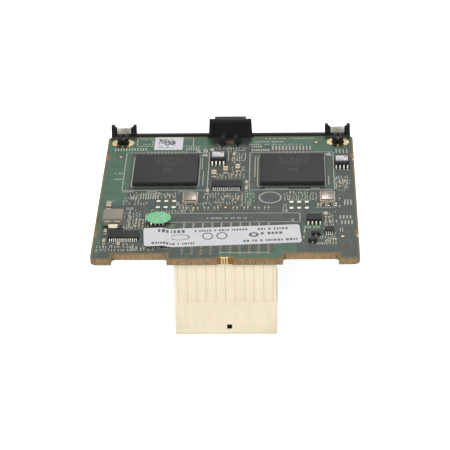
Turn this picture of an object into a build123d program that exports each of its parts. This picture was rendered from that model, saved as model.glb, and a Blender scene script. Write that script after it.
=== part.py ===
"""Mezzanine network card: a bare circuit board with a straight backplane connector under its front
edge and a black retainer bracket along its back edge. Millimetres, +Z up.

The origin is the middle of the connector's mating face, which looks down. X runs along the board's
front edge and Y runs from that edge back to the bracket."""
from build123d import *
import os

os.makedirs("parts", exist_ok=True)

# Board
board_width = 84.0
board_depth = 87.3
board_thickness = 2.25
board_corner_radius = 2.2

# Two notches in the front edge, one each side of the connector
notch_width = 17.3
notch_depth = 3.4
notch_place_share = 0.3185
notch_corner_radius = 1.1

# Key slot in the middle of the front edge, plated inside
key_slot_width = 3.6
key_slot_depth = 0.6

# Snapped breakaway tabs leave small bites in the side edges
bite_radius = 0.45
bite_place_shares = [(-0.5, 0.795), (-0.5, 0.185), (0.5, 0.785), (0.5, 0.165)]

# Tooling holes
tooling_hole_radius = 0.5
tooling_hole_shares = [(-0.4395, 0.818), (0.35, 0.9395), (0.4395, 0.1615)]

# Straight press-fit connector under the front edge
connector_width = 32.2
connector_depth = 22.0
connector_height = 26.5
connector_setback = 2.0
nose_height = 12.1
nose_edge_chamfer = 0.5
end_wall_thickness = 0.95
end_wall_step = 0.15

# Ten wafers stand side by side on the nose
wafer_count = 10
wafer_pitch = 3.0
wafer_seam = 0.08
wafer_setback = 0.15
wafer_edge_chamfer = 0.2

# Pockets in the mating face, one row of five under each wafer
pocket_rows = 5
pocket_pitch = 4.2
pocket_width = 1.5
pocket_depth_along = 3.3
beam_thickness = 0.3
beam_width = 2.4
beam_length = 9.5

# Press-fit tails, fifteen on each wafer
tail_rows = 15
tail_pitch = 1.4
tail_width = 0.4
tail_thickness = 0.3
tail_hole_radius = 0.32
tail_drop = 0.2

# Marks moulded into the nose's front
panel_width = 13.0
panel_height = 6.5
panel_relief = 0.12
panel_place = 1.05
panel_top_drop = 0.4
window_width = 1.6
window_height = 1.66
window_depth = 1.5
window_rise = 2.2
groove_width = 0.16
left_groove_place = 12.13
left_groove_foot = 2.1
right_groove_place = 14.17
right_groove_foot = 4.5

# Retainer bracket behind the back edge, one moulding
bracket_end_inset = 0.8
bracket_clearance = 0.1
bar_depth = 1.5
bar_rise = 0.6
ledge_thickness = 1.8
ledge_reach = 3.0

# Handle in the middle of the bracket, hollow at the front
handle_width = 15.3
handle_rise = 6.65
handle_depth = 3.7
handle_advance = 1.1
handle_draft = 0.45
handle_back_width = 10.7
handle_step_share = 0.5
handle_recess_width = 12.0
handle_recess_depth = 0.5
handle_edge_radius = 0.8

# Ears that hold the clips
ear_rise = 4.05
ear_thickness = 1.15
ear_jaw = 0.75
ear_jaw_drop = 1.2
ear_depth = 1.5
ear_span = 8.7
ear_end_inset = 0.08
seat_rise = 3.4

# Sheet metal grounding clips over the seats between the ears
clip_thickness = 0.25
clip_clearance = 0.05
clip_front_drop = 2.4
clip_back_drop = 2.9
clip_bend_radius = 0.5

# Split snap posts through the board, and the pads round them
post_place_share = 0.4385
post_inset = 4.9
post_shaft_radius = 1.65
post_head_radius = 1.8
post_tip_radius = 2.15
post_head_height = 2.5
post_slit_width = 0.7
post_hole_radius = 1.95
post_seat_radius = 4.2
pad_outer_radius = 3.83
pad_inner_radius = 2.25
pad_thickness = 0.06

# Two claws through a slot in front of the handle
slot_width = 6.5
slot_depth = 4.0
slot_inset = 3.3
slot_offset = 0.25
slot_corner_radius = 0.6
claw_width = 1.3
claw_depth = 2.4
claw_hook = 0.45
claw_rise = 2.6
claw_gap = 3.2

# Ball grid controllers
controller_side = 21.3
controller_thickness = 1.15
controller_edge_chamfer = 0.25
controller_place_shares = [(-0.2488, 0.6855), (0.2525, 0.6855)]
ball_radius = 0.3
ball_height = 0.5
ball_pitch = 1.0
balls_along_side = 20

# Gull-wing packages: body sizes across the leads, along the leads, height, lead pitch and count
lead_thickness = 0.16
lead_foot_share = 0.5
lead_knee_share = 0.25
body_standoff = 0.1
body_draft = 4

soic_length, soic_span, soic_height = 4.9, 3.9, 1.45
wide_soic_length, wide_soic_span, wide_soic_height = 5.2, 5.25, 1.85
soic_pitch, soic_lead_width, soic_lead_reach = 1.27, 0.42, 1.05
wide_soic_lead_reach = 1.35
soic_side_count = 4
tssop_length, tssop_span, tssop_height = 9.7, 4.4, 1.05
tssop_pitch, tssop_lead_width, tssop_lead_reach = 0.65, 0.24, 1.0
tssop_side_count = 14
msop_length, msop_span, msop_height = 3.0, 3.0, 0.95
msop_lead_reach = 0.95
msop_side_count = 4
memory_length, memory_span, memory_height = 5.0, 10.8, 0.65
memory_side_count = 7
memory_lead_reach = 0.9
transistor_length, transistor_span, transistor_height = 2.9, 1.3, 1.0
transistor_lead_width, transistor_lead_reach, transistor_lead_pitch = 0.42, 0.55, 1.9

# Places on the board, as shares of its width from the middle and of its depth from the front edge
flash_left_share = (-0.0455, 0.7875)
flash_right_share = (0.4498, 0.748)
regulator_share = (0.334, 0.287)
interface_left_along_share = 0.1672
interface_memory_gap = 2.18
interface_chip_gap = 0.65
interface_chip_along_shares = (0.126, 0.2)
interface_centre_share = (-0.0075, 0.5682)
converter_share = (0.3893, 0.2062)
memory_share = (-0.2715, 0.1535)
timer_share = (-0.263, 0.2887)
transistor_shares = [(0.3393, 0.1787), (0.3262, 0.1289)]

# Crystal oscillators: ceramic base with a metal lid
oscillator_width = 5.0
oscillator_length = 7.0
oscillator_base_height = 0.85
oscillator_lid_height = 0.35
oscillator_lid_inset = 0.45
oscillator_corner_radius = 0.35
oscillator_shares = [(-0.1448, 0.464), (0.3875, 0.464)]

# Moulded power inductor with folded terminals
inductor_width = 6.5
inductor_length = 6.9
inductor_height = 2.95
inductor_edge_radius = 0.35
inductor_share = (-0.4309, 0.2846)
terminal_width = 3.0
terminal_thickness = 0.15
terminal_rise = 1.5
terminal_fold = 1.3

# Chip capacitors and resistors: width, length, height
large_chip_width, large_chip_length, large_chip_height = 1.6, 3.0, 1.2
large_chip_shares = [(-0.457, 0.4), (-0.0583, 0.6605), (-0.0131, 0.6905), (0.0345, 0.708)]
medium_chip_width, medium_chip_length, medium_chip_height = 1.0, 1.9, 0.8
medium_chip_shares = [
    (-0.4, 0.1015), (-0.0798, 0.515), (0.0714, 0.583), (0.0714, 0.535), (0.379, 0.327), (0.018, 0.822),
]
small_chip_width, small_chip_length, small_chip_height = 0.5, 1.0, 0.45
small_chip_row_share = 0.382
small_chip_row_shares = [
    -0.169, -0.1548, -0.1286, -0.1131, -0.0869, -0.0726, -0.0488, -0.0345,
    0.0238, 0.0381, 0.0655, 0.0798, 0.106, 0.1214, 0.1452, 0.1595,
]
small_chip_shares = [
    (-0.279, 0.5), (-0.2667, 0.5), (0.244, 0.503), (0.256, 0.503), (-0.243, 0.477), (-0.225, 0.477),
    (-0.345, 0.285), (-0.331, 0.287), (-0.318, 0.285), (-0.345, 0.262), (-0.331, 0.257),
    (-0.318, 0.263), (-0.345, 0.238), (-0.331, 0.238), (-0.318, 0.236), (-0.298, 0.25),
    (-0.0095, 0.473), (0.0036, 0.473), (0.0405, 0.473), (0.056, 0.473), (0.0226, 0.449),
    (0.0405, 0.449), (0.056, 0.449), (-0.0167, 0.449), (0.0131, 0.648), (0.0298, 0.648),
    (0.0452, 0.648), (0.0179, 0.671), (0.0333, 0.676), (0.0476, 0.673), (0.012, 0.775),
    (0.0405, 0.775), (0.012, 0.795), (0.0405, 0.795), (0.2512, 0.282), (0.3786, 0.302),
    (0.39, 0.302), (0.404, 0.27), (0.378, 0.276), (0.392, 0.271), (0.418, 0.271),
    (0.2964, 0.192), (0.2964, 0.2), (0.293, 0.152), (0.375, 0.121), (0.389, 0.121),
    (0.403, 0.133), (0.413, 0.133), (0.35, 0.405), (0.36, 0.405), (0.383, 0.405), (0.41, 0.405),
    (0.35, 0.392), (0.36, 0.392), (0.433, 0.39), (0.433, 0.45), (-0.382, 0.1), (-0.367, 0.1),
    (-0.329, 0.07), (-0.314, 0.067), (-0.302, 0.073), (-0.128, 0.864), (-0.1, 0.864),
    (-0.128, 0.88), (-0.1, 0.88), (-0.075, 0.865), (-0.01, 0.876), (0.005, 0.874),
    (0.439, 0.594), (0.452, 0.594), (0.466, 0.594), (0.439, 0.577), (0.452, 0.577), (0.466, 0.577),
]

# Paper stuck on the card
paper_thickness = 0.1
label_width = 12.0
label_turn = 3.9
label_along_share = 0.1676
label_overhang = 0.64
label_gap = 2.25
label_raised_length = 6.0
label_ramp_length = 2.2
code_label_side = 9.7
code_label_share = (-0.251, 0.9355)
sticker_radius = 4.0
sticker_offset = 0.6
sticker_shift = 0.35
tag_length = 4.0
tag_width = 3.6
tag_offset = 0.75

# Levels and edges worked out from the sizes above
board_bottom = connector_height
board_top = board_bottom + board_thickness
front_edge = -connector_depth / 2 - connector_setback
back_edge = front_edge + board_depth
board_middle = front_edge + board_depth / 2
bracket_length = board_width - 2 * bracket_end_inset
ear_pair_place = bracket_length / 2 - ear_end_inset - ear_span / 2
wafer_width = wafer_pitch - wafer_seam
wafer_depth = connector_depth - 2 * wafer_setback
wafer_span = wafer_count * wafer_pitch
bar_front = back_edge + bracket_clearance
handle_front = bar_front - handle_advance
post_place = board_width * post_place_share
post_line = back_edge - post_inset
slot_middle = back_edge - slot_inset - slot_depth / 2


def on_board(place_share):
    """Turns a place given in shares of the board into its X and Y."""
    across, along = place_share
    return across * board_width, front_edge + along * board_depth


def across_share(across):
    """Turns a distance from the board's middle into a share of its width."""
    return across / board_width


def finish(part, name):
    """Labels a finished piece and writes it."""
    part.label = name
    export_step(part, f"parts/{name}.step")


# Circuit board, with every hole that the other pieces pass through
with BuildPart() as circuit_board:
    with BuildSketch(Plane.XY.offset(board_bottom)):
        with Locations((0, board_middle)):
            RectangleRounded(board_width, board_depth, board_corner_radius)
        notch_places = [(side * notch_place_share * board_width, front_edge) for side in (-1, 1)]
        with Locations(*notch_places):
            RectangleRounded(notch_width, 2 * notch_depth, notch_corner_radius, mode=Mode.SUBTRACT)
        with Locations((0, front_edge)):
            SlotOverall(key_slot_width + 2 * key_slot_depth, 2 * key_slot_depth, mode=Mode.SUBTRACT)
        with Locations((0, back_edge)):
            Rectangle(handle_width + handle_edge_radius, 2 * (handle_advance + bracket_clearance),
                      mode=Mode.SUBTRACT)
        with Locations((-slot_offset, slot_middle)):
            RectangleRounded(slot_width, slot_depth, slot_corner_radius, mode=Mode.SUBTRACT)
        with Locations((-post_place, post_line), (post_place, post_line)):
            Circle(post_hole_radius, mode=Mode.SUBTRACT)
        with Locations(*[on_board(share) for share in bite_place_shares]):
            Circle(bite_radius, mode=Mode.SUBTRACT)
        with Locations(*[on_board(share) for share in tooling_hole_shares]):
            Circle(tooling_hole_radius, mode=Mode.SUBTRACT)
        with GridLocations(wafer_pitch, tail_pitch, wafer_count, tail_rows):
            Circle(tail_hole_radius, mode=Mode.SUBTRACT)
    extrude(amount=board_thickness)
finish(circuit_board.part, "circuit_board")

# Connector housing: nose with through pockets, and two end walls up to the board
with BuildPart() as connector_housing:
    with BuildSketch(Plane.XY):
        Rectangle(connector_width, connector_depth)
    extrude(amount=nose_height)
    chamfer(connector_housing.faces().sort_by(Axis.Z)[0].edges(), length=nose_edge_chamfer)
    wall_middle = wafer_span / 2 + end_wall_thickness / 2
    with BuildSketch(Plane.XY.offset(nose_height)):
        with Locations((-wall_middle, 0), (wall_middle, 0)):
            Rectangle(end_wall_thickness, connector_depth - 2 * end_wall_step)
    extrude(amount=connector_height - nose_height)
    with BuildSketch(Plane.XY):
        with GridLocations(wafer_pitch, pocket_pitch, wafer_count, pocket_rows):
            Rectangle(pocket_width, pocket_depth_along)
    extrude(amount=nose_height, mode=Mode.SUBTRACT)
    # Rectangular panel, small window and two thin grooves on the front face
    with BuildSketch(Plane.XZ.offset(connector_depth / 2)):
        with Locations((panel_place, nose_height - panel_top_drop - panel_height / 2)):
            Rectangle(panel_width, panel_height)
        left_groove_height = nose_height - left_groove_foot
        with Locations((-left_groove_place, left_groove_foot + left_groove_height / 2)):
            Rectangle(groove_width, left_groove_height)
        with Locations((right_groove_place, (nose_height + right_groove_foot) / 2)):
            Rectangle(groove_width, nose_height - right_groove_foot)
        foot_length = connector_width / 2 - left_groove_place
        with Locations((-left_groove_place - foot_length / 2, left_groove_foot)):
            Rectangle(foot_length, groove_width)
    extrude(amount=-panel_relief, mode=Mode.SUBTRACT)
    with BuildSketch(Plane.XZ.offset(connector_depth / 2)):
        with Locations((panel_place, window_rise + window_height / 2)):
            Rectangle(window_width, window_height)
    extrude(amount=-window_depth, mode=Mode.SUBTRACT)
finish(connector_housing.part, "connector_housing")

# Wafers: one moulded plate for each column of contacts
for index in range(wafer_count):
    wafer_place = (index - (wafer_count - 1) / 2) * wafer_pitch
    with BuildPart() as wafer:
        with BuildSketch(Plane.XY.offset(nose_height)):
            with Locations((wafer_place, 0)):
                Rectangle(wafer_width, wafer_depth)
        extrude(amount=connector_height - nose_height)
        chamfer(wafer.edges().filter_by(Axis.Z), length=wafer_edge_chamfer)
    finish(wafer.part, f"connector_wafer_{index + 1:02d}")

# Press-fit tails stand on the wafers, inside the board's plated holes
with BuildPart() as press_fit_tails:
    with BuildSketch(Plane.XY.offset(connector_height)):
        with GridLocations(wafer_pitch, tail_pitch, wafer_count, tail_rows):
            Rectangle(tail_thickness, tail_width)
    extrude(amount=board_thickness - tail_drop)
finish(press_fit_tails.part, "press_fit_tails")

# Contact beams hang from the wafers inside the nose's pockets
with BuildPart() as contact_beams:
    with BuildSketch(Plane.XY.offset(nose_height)):
        with GridLocations(wafer_pitch, pocket_pitch, wafer_count, pocket_rows):
            Rectangle(beam_thickness, beam_width)
    extrude(amount=-beam_length)
finish(contact_beams.part, "contact_beams")

# Retainer bracket
ledge_top = board_bottom
ledge_bottom = board_bottom - ledge_thickness
bar_top = board_top + bar_rise
with BuildPart() as retainer_bracket:
    # Ledge under the board's back edge, with a round seat under each post and a tab under the claws
    with BuildSketch(Plane.XY.offset(ledge_bottom)):
        with Locations((0, bar_front + (ear_depth - ledge_reach) / 2)):
            Rectangle(bracket_length, ledge_reach + ear_depth)
        with Locations((-post_place, post_line), (post_place, post_line)):
            Circle(post_seat_radius)
        seat_depth = bar_front - slot_middle + slot_depth / 2
        with Locations((-slot_offset, bar_front - seat_depth / 2)):
            Rectangle(slot_width + 2 * claw_width, seat_depth)
    extrude(amount=ledge_thickness)
    # Bar along the back edge
    with BuildSketch(Plane.XY.offset(ledge_top)):
        with Locations((0, bar_front + bar_depth / 2)):
            Rectangle(bracket_length, bar_depth)
    extrude(amount=bar_top - ledge_top)
    # Handle: a wide front part and a narrower back part, both leaning in towards the top
    handle_height = board_top + handle_rise - ledge_top
    step_depth = handle_depth * handle_step_share
    lean = handle_draft
    with BuildSketch(Plane.XY.offset(ledge_top)) as handle_foot:
        with Locations((0, handle_front + step_depth / 2)):
            Rectangle(handle_width, step_depth)
    with BuildSketch(Plane.XY.offset(ledge_top + handle_height)) as handle_head:
        with Locations((0, handle_front + step_depth / 2)):
            Rectangle(handle_width - 2 * lean, step_depth)
    loft()
    with BuildSketch(Plane.XY.offset(ledge_top)):
        with Locations((0, handle_front + handle_depth / 2)):
            Rectangle(handle_back_width, handle_depth)
    extrude(amount=handle_height)
    with BuildSketch(Plane.XY.offset(board_bottom)):
        with Locations((0, handle_front)):
            Rectangle(handle_recess_width, 2 * handle_recess_depth)
    extrude(amount=handle_height - handle_edge_radius - handle_recess_depth, mode=Mode.SUBTRACT)
    top_front_edges = retainer_bracket.edges().filter_by(Axis.X).group_by(Axis.Z)[-1]
    fillet(top_front_edges, radius=handle_edge_radius)
    # Ears in pairs, each with a jaw on its inner side, and the seat between them
    for side in (-1, 1):
        pair_middle = side * ear_pair_place
        for hand in (-1, 1):
            outer = pair_middle + hand * ear_span / 2
            inner = outer - hand * ear_thickness
            jaw = inner - hand * ear_jaw
            ear_top = board_top + ear_rise
            jaw_top = ear_top - ear_jaw_drop
            with BuildSketch(Plane.XZ.offset(-bar_front)):
                with BuildLine():
                    Polyline((outer, ledge_top), (outer, ear_top), (inner, ear_top),
                             (inner, jaw_top + ear_jaw), (jaw, jaw_top), (jaw, ledge_top), close=True)
                make_face()
            extrude(amount=-ear_depth)
        seat_width = ear_span - 2 * (ear_thickness + ear_jaw)
        with BuildSketch(Plane.XY.offset(ledge_top)):
            with Locations((pair_middle, bar_front + ear_depth / 2)):
                Rectangle(seat_width, ear_depth - 2 * (clip_thickness + clip_clearance))
        extrude(amount=board_top + seat_rise - ledge_top)
        clip_slot = clip_thickness + 2 * clip_clearance
        with BuildSketch(Plane.XY.offset(board_top + seat_rise - clip_front_drop)):
            with Locations((pair_middle, bar_front + clip_slot / 2)):
                Rectangle(seat_width, clip_slot)
        extrude(amount=clip_front_drop, mode=Mode.SUBTRACT)
    # Split snap posts with flared heads of four prongs
    for side in (-1, 1):
        with BuildSketch(Plane.XY.offset(ledge_top)):
            with Locations((side * post_place, post_line)):
                Circle(post_shaft_radius)
        extrude(amount=board_thickness)
        with BuildSketch(Plane.XY.offset(board_top)):
            with Locations((side * post_place, post_line)):
                Circle(post_head_radius)
        with BuildSketch(Plane.XY.offset(board_top + post_head_height)):
            with Locations((side * post_place, post_line)):
                Circle(post_tip_radius)
        loft()
        with BuildSketch(Plane.XY.offset(ledge_top)):
            with Locations((side * post_place, post_line)):
                Rectangle(post_slit_width, 2 * post_tip_radius)
                Rectangle(2 * post_tip_radius, post_slit_width)
        extrude(amount=board_thickness + post_head_height, mode=Mode.SUBTRACT)
    # Claws that hook outwards over the slot's edges
    for hand in (-1, 1):
        inner = -slot_offset + hand * claw_gap / 2
        outer = inner + hand * claw_width
        hook = -slot_offset + hand * (slot_width / 2 + claw_hook)
        with BuildSketch(Plane.XZ.offset(-(slot_middle + claw_depth / 2))):
            with BuildLine():
                Polyline((inner, ledge_top), (inner, board_top + claw_rise),
                         (outer - hand * claw_hook, board_top + claw_rise),
                         (hook, board_top + claw_rise / 3), (hook, board_top + bracket_clearance),
                         (outer, board_top + bracket_clearance), (outer, ledge_top), close=True)
            make_face()
        extrude(amount=claw_depth)
finish(retainer_bracket.part, "retainer_bracket")

# Grounding clips: strips folded over the seats
for side, hand in ((-1, "left"), (1, "right")):
    pair_middle = side * ear_pair_place
    clip_width = ear_span - 2 * (ear_thickness + ear_jaw) - 2 * clip_clearance
    clip_front = bar_front + clip_clearance
    clip_back = bar_front + ear_depth - clip_clearance
    clip_top = board_top + seat_rise + clip_clearance + clip_thickness
    front_foot = board_top + seat_rise - clip_front_drop + clip_clearance
    back_foot = clip_top - clip_back_drop
    with BuildPart() as grounding_clip:
        with BuildSketch(Plane.YZ.offset(pair_middle - clip_width / 2)):
            with BuildLine():
                Polyline((clip_front, front_foot), (clip_front, clip_top), (clip_back, clip_top),
                         (clip_back, back_foot), (clip_back - clip_thickness, back_foot),
                         (clip_back - clip_thickness, clip_top - clip_thickness),
                         (clip_front + clip_thickness, clip_top - clip_thickness),
                         (clip_front + clip_thickness, front_foot), close=True)
            make_face()
        extrude(amount=clip_width)
        bends = grounding_clip.edges().filter_by(Axis.X).group_by(Axis.Z)[-1]
        fillet(bends, radius=clip_bend_radius)
    finish(grounding_clip.part, f"grounding_clip_{hand}")

# Plated rings round the post holes
with BuildPart() as ground_pads:
    with BuildSketch(Plane.XY.offset(board_top)):
        with Locations((-post_place, post_line), (post_place, post_line)):
            Circle(pad_outer_radius)
            Circle(pad_inner_radius, mode=Mode.SUBTRACT)
    extrude(amount=pad_thickness)
finish(ground_pads.part, "ground_pads")

# Controllers on their solder balls, of which only the outer rows are made
ball_span = (balls_along_side - 1) * ball_pitch
for place_share, hand in zip(controller_place_shares, ("left", "right")):
    across, along = on_board(place_share)
    with BuildPart() as controller:
        with BuildSketch(Plane.XY.offset(board_top + ball_height)):
            with Locations((across, along)):
                Rectangle(controller_side, controller_side)
        extrude(amount=controller_thickness)
        chamfer(controller.faces().sort_by(Axis.Z)[-1].edges(), length=controller_edge_chamfer)
    finish(controller.part, f"controller_chip_{hand}")

with BuildPart() as solder_balls:
    with BuildSketch(Plane.XY.offset(board_top)):
        for place_share in controller_place_shares:
            across, along = on_board(place_share)
            steps = [index * ball_pitch - ball_span / 2 for index in range(balls_along_side)]
            ends = (steps[0], steps[-1])
            ring = [(across + x, along + y) for x in steps for y in steps if x in ends or y in ends]
            with Locations(*ring):
                Circle(ball_radius)
    extrude(amount=ball_height)
finish(solder_balls.part, "solder_balls")


def seat(place_share, turn=0):
    """Gives the plane on the board's top face at a place, turned about the vertical."""
    across, along = on_board(place_share)
    return Plane(origin=(across, along, board_top), z_dir=(0, 0, 1)).rotated((0, 0, turn))


def chip_body(plane, length, span, height):
    """Moulds the plastic body of a leaded chip, drawn in towards its top."""
    with BuildPart() as body:
        with BuildSketch(plane.offset(body_standoff)):
            Rectangle(length, span)
        extrude(amount=height - body_standoff, taper=body_draft)
    return body.part


def gull_wings(plane, span, height, pitch, count, width, reach):
    """Bends the leads of both long sides of a chip."""
    shoulder = span / 2
    knee = shoulder + reach * lead_knee_share
    heel = shoulder + reach * (1 - lead_foot_share)
    toe = shoulder + reach
    level = height / 2
    with BuildPart() as lead:
        with BuildSketch(Plane.YZ.offset(-width / 2)):
            with BuildLine():
                Polyline((shoulder, level), (shoulder, level + lead_thickness),
                         (knee, level + lead_thickness), (heel + lead_thickness, lead_thickness),
                         (toe, lead_thickness), (toe, 0), (heel, 0), (knee - lead_thickness / 2, level),
                         close=True)
            make_face()
        extrude(amount=width)
    with BuildPart(plane) as leads:
        for turn in (0, 180):
            with GridLocations(pitch, pitch, count, 1):
                add(lead.part, rotation=(0, 0, turn))
    return leads.part


# Leaded chips
soic = (soic_length, soic_span, soic_height)
wide_soic = (wide_soic_length, wide_soic_span, wide_soic_height)
tssop = (tssop_length, tssop_span, tssop_height)
msop = (msop_length, msop_span, msop_height)
memory = (memory_length, memory_span, memory_height)

soic_leads = (soic_pitch, soic_side_count, soic_lead_width, soic_lead_reach)
wide_soic_leads = (soic_pitch, soic_side_count, soic_lead_width, wide_soic_lead_reach)
tssop_leads = (tssop_pitch, tssop_side_count, tssop_lead_width, tssop_lead_reach)
msop_leads = (tssop_pitch, msop_side_count, tssop_lead_width, msop_lead_reach)
memory_leads = (tssop_pitch, memory_side_count, tssop_lead_width, memory_lead_reach)

# The left interface chip and its two capacitors keep their distance from the memory chip
memory_left = on_board(memory_share)[0] - memory_length / 2
interface_left = memory_left - interface_memory_gap - tssop_length / 2
interface_left_share = (across_share(interface_left), interface_left_along_share)
beside_interface = interface_left - tssop_length / 2 - interface_chip_gap - medium_chip_width / 2
beside_interface_shares = [(across_share(beside_interface), along) for along in interface_chip_along_shares]

leaded_chips = [
    ("flash_chip_left", flash_left_share, wide_soic, wide_soic_leads),
    ("flash_chip_right", flash_right_share, wide_soic, wide_soic_leads),
    ("regulator_chip", regulator_share, soic, soic_leads),
    ("timer_chip", timer_share, soic, soic_leads),
    ("interface_chip_left", interface_left_share, tssop, tssop_leads),
    ("interface_chip_centre", interface_centre_share, tssop, tssop_leads),
    ("converter_chip", converter_share, msop, msop_leads),
    ("memory_chip", memory_share, memory, memory_leads),
]
for name, place_share, (length, span, height), (pitch, count, width, reach) in leaded_chips:
    plane = seat(place_share)
    finish(chip_body(plane, length, span, height), name)
    finish(gull_wings(plane, span, height, pitch, count, width, reach), f"{name}_leads")

# Small transistors: one body and three leads each
with BuildPart() as transistors:
    for place_share in transistor_shares:
        with BuildSketch(seat(place_share).offset(body_standoff)):
            Rectangle(transistor_length, transistor_span)
        extrude(amount=transistor_height - body_standoff, taper=body_draft)
finish(transistors.part, "transistors")

with BuildPart() as transistor_leads:
    foot_middle = transistor_span / 2 + transistor_lead_reach / 2
    half_pitch = transistor_lead_pitch / 2
    for place_share in transistor_shares:
        with BuildSketch(seat(place_share)):
            with Locations((0, -foot_middle), (-half_pitch, foot_middle), (half_pitch, foot_middle)):
                Rectangle(transistor_lead_width, transistor_lead_reach)
        extrude(amount=transistor_height / 2)
finish(transistor_leads.part, "transistor_leads")

# Oscillators: ceramic bases and metal lids
with BuildPart() as oscillator_bases:
    with BuildSketch(Plane.XY.offset(board_top)):
        with Locations(*[on_board(share) for share in oscillator_shares]):
            RectangleRounded(oscillator_width, oscillator_length, oscillator_corner_radius)
    extrude(amount=oscillator_base_height)
finish(oscillator_bases.part, "oscillator_bases")

with BuildPart() as oscillator_lids:
    with BuildSketch(Plane.XY.offset(board_top + oscillator_base_height)):
        with Locations(*[on_board(share) for share in oscillator_shares]):
            RectangleRounded(oscillator_width - 2 * oscillator_lid_inset,
                             oscillator_length - 2 * oscillator_lid_inset, oscillator_corner_radius)
    extrude(amount=oscillator_lid_height)
finish(oscillator_lids.part, "oscillator_lids")

# Power inductor with a terminal folded up each end
inductor_seat = seat(inductor_share)
with BuildPart() as power_inductor:
    with BuildSketch(inductor_seat.offset(terminal_thickness)):
        Rectangle(inductor_width, inductor_length)
    extrude(amount=inductor_height - terminal_thickness)
    fillet(power_inductor.edges().filter_by(Axis.Z), radius=inductor_edge_radius)
finish(power_inductor.part, "power_inductor")

with BuildPart() as inductor_terminals:
    wall_place = inductor_length / 2 + terminal_thickness / 2
    foot_place = inductor_length / 2 + terminal_thickness - terminal_fold / 2
    with BuildSketch(inductor_seat):
        with Locations((0, -wall_place), (0, wall_place)):
            Rectangle(terminal_width, terminal_thickness)
    extrude(amount=terminal_rise)
    with BuildSketch(inductor_seat):
        with Locations((0, -foot_place), (0, foot_place)):
            Rectangle(terminal_width, terminal_fold)
    extrude(amount=terminal_thickness)
finish(inductor_terminals.part, "inductor_terminals")


def chips(shares, width, length, height):
    """Sets a group of chip capacitors or resistors on the board, one solid each."""
    with BuildPart() as group:
        with BuildSketch(Plane.XY.offset(board_top)):
            with Locations(*[on_board(share) for share in shares]):
                Rectangle(width, length)
        extrude(amount=height)
    return group.part


row_shares = [(share, small_chip_row_share) for share in small_chip_row_shares]
finish(chips(large_chip_shares, large_chip_width, large_chip_length, large_chip_height),
       "large_capacitors")
medium_shares = medium_chip_shares + beside_interface_shares
finish(chips(medium_shares, medium_chip_width, medium_chip_length, medium_chip_height), "medium_capacitors")
finish(chips(row_shares, small_chip_width, small_chip_length, small_chip_height), "row_capacitors")
finish(chips(small_chip_shares, small_chip_width, small_chip_length, small_chip_height),
       "small_resistors")

# Main label, from past the memory chip to short of the transistors: raised where it lies over the
# chip, then down on to the board
label_left = memory_left - label_overhang
label_right = min(on_board(share)[0] for share in transistor_shares) - transistor_length / 2 - label_gap
label_length = label_right - label_left
label_share = (across_share((label_left + label_right) / 2), label_along_share)
label_seat = seat(label_share, label_turn)
label_side = Plane(origin=label_seat.origin, x_dir=label_seat.x_dir, z_dir=-label_seat.y_dir)
with BuildPart() as paper_label:
    with BuildSketch(label_side.offset(-label_width / 2)):
        left = -label_length / 2
        ramp_start = left + label_raised_length
        ramp_end = ramp_start + label_ramp_length
        with BuildLine():
            Polyline((left, memory_height), (ramp_start, memory_height), (ramp_end, 0),
                     (-left, 0), (-left, paper_thickness), (ramp_end, paper_thickness),
                     (ramp_start, memory_height + paper_thickness),
                     (left, memory_height + paper_thickness), close=True)
        make_face()
    extrude(amount=label_width)
finish(paper_label.part, "paper_label")

with BuildPart() as code_label:
    with BuildSketch(seat(code_label_share)):
        Rectangle(code_label_side, code_label_side)
    extrude(amount=paper_thickness)
finish(code_label.part, "code_label")

with BuildPart() as round_sticker:
    with BuildSketch(seat(timer_share).offset(soic_height)):
        with Locations((sticker_shift, -sticker_offset)):
            Circle(sticker_radius)
    extrude(amount=paper_thickness)
finish(round_sticker.part, "round_sticker")

with BuildPart() as chip_tags:
    for place_share in (flash_left_share, flash_right_share):
        with BuildSketch(seat(place_share).offset(wide_soic_height)):
            with Locations((0, tag_offset)):
                Rectangle(tag_length, tag_width)
        extrude(amount=paper_thickness)
finish(chip_tags.part, "chip_tags")
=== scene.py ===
"""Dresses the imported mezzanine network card: print and solder on the board, softened mouldings, chips,
papers and the finish of every piece. Lengths are in metres, and the tables of places are in millimetres
from the middle of the board's front edge."""

import math
import random

import bmesh
import bpy
from bpy.props import FloatProperty, FloatVectorProperty, PointerProperty
from mathutils import Matrix, Vector


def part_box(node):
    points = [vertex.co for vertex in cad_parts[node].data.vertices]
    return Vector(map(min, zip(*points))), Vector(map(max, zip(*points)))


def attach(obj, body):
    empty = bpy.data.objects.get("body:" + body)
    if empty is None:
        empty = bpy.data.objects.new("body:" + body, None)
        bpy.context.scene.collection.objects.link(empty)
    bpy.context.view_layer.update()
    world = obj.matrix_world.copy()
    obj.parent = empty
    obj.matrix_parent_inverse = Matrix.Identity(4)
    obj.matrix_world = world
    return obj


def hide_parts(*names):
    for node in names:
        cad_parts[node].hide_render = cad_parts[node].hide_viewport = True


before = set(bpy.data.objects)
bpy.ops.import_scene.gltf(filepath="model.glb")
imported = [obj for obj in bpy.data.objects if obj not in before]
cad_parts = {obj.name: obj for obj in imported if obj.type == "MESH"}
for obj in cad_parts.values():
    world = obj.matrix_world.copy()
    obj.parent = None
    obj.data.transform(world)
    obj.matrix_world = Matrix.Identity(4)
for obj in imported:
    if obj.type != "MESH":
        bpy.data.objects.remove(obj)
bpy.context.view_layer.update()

bl_info = {
    "name": "Mezzanine network card",
    "version": (1, 0, 0),
    "blender": (4, 5, 0),
    "location": "3D View > Sidebar > Network card",
    "description": "Print, solder, moulded edges, papers and finishes for the card",
    "category": "Add Mesh",
}

MM = 0.001
BODY = "root"
BOARD_LOW, BOARD_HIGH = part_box("circuit_board")
BOARD_TOP = BOARD_HIGH.z
BOARD_HALF = BOARD_HIGH.x
NOSE_LOW, NOSE_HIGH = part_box("connector_housing")

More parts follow.
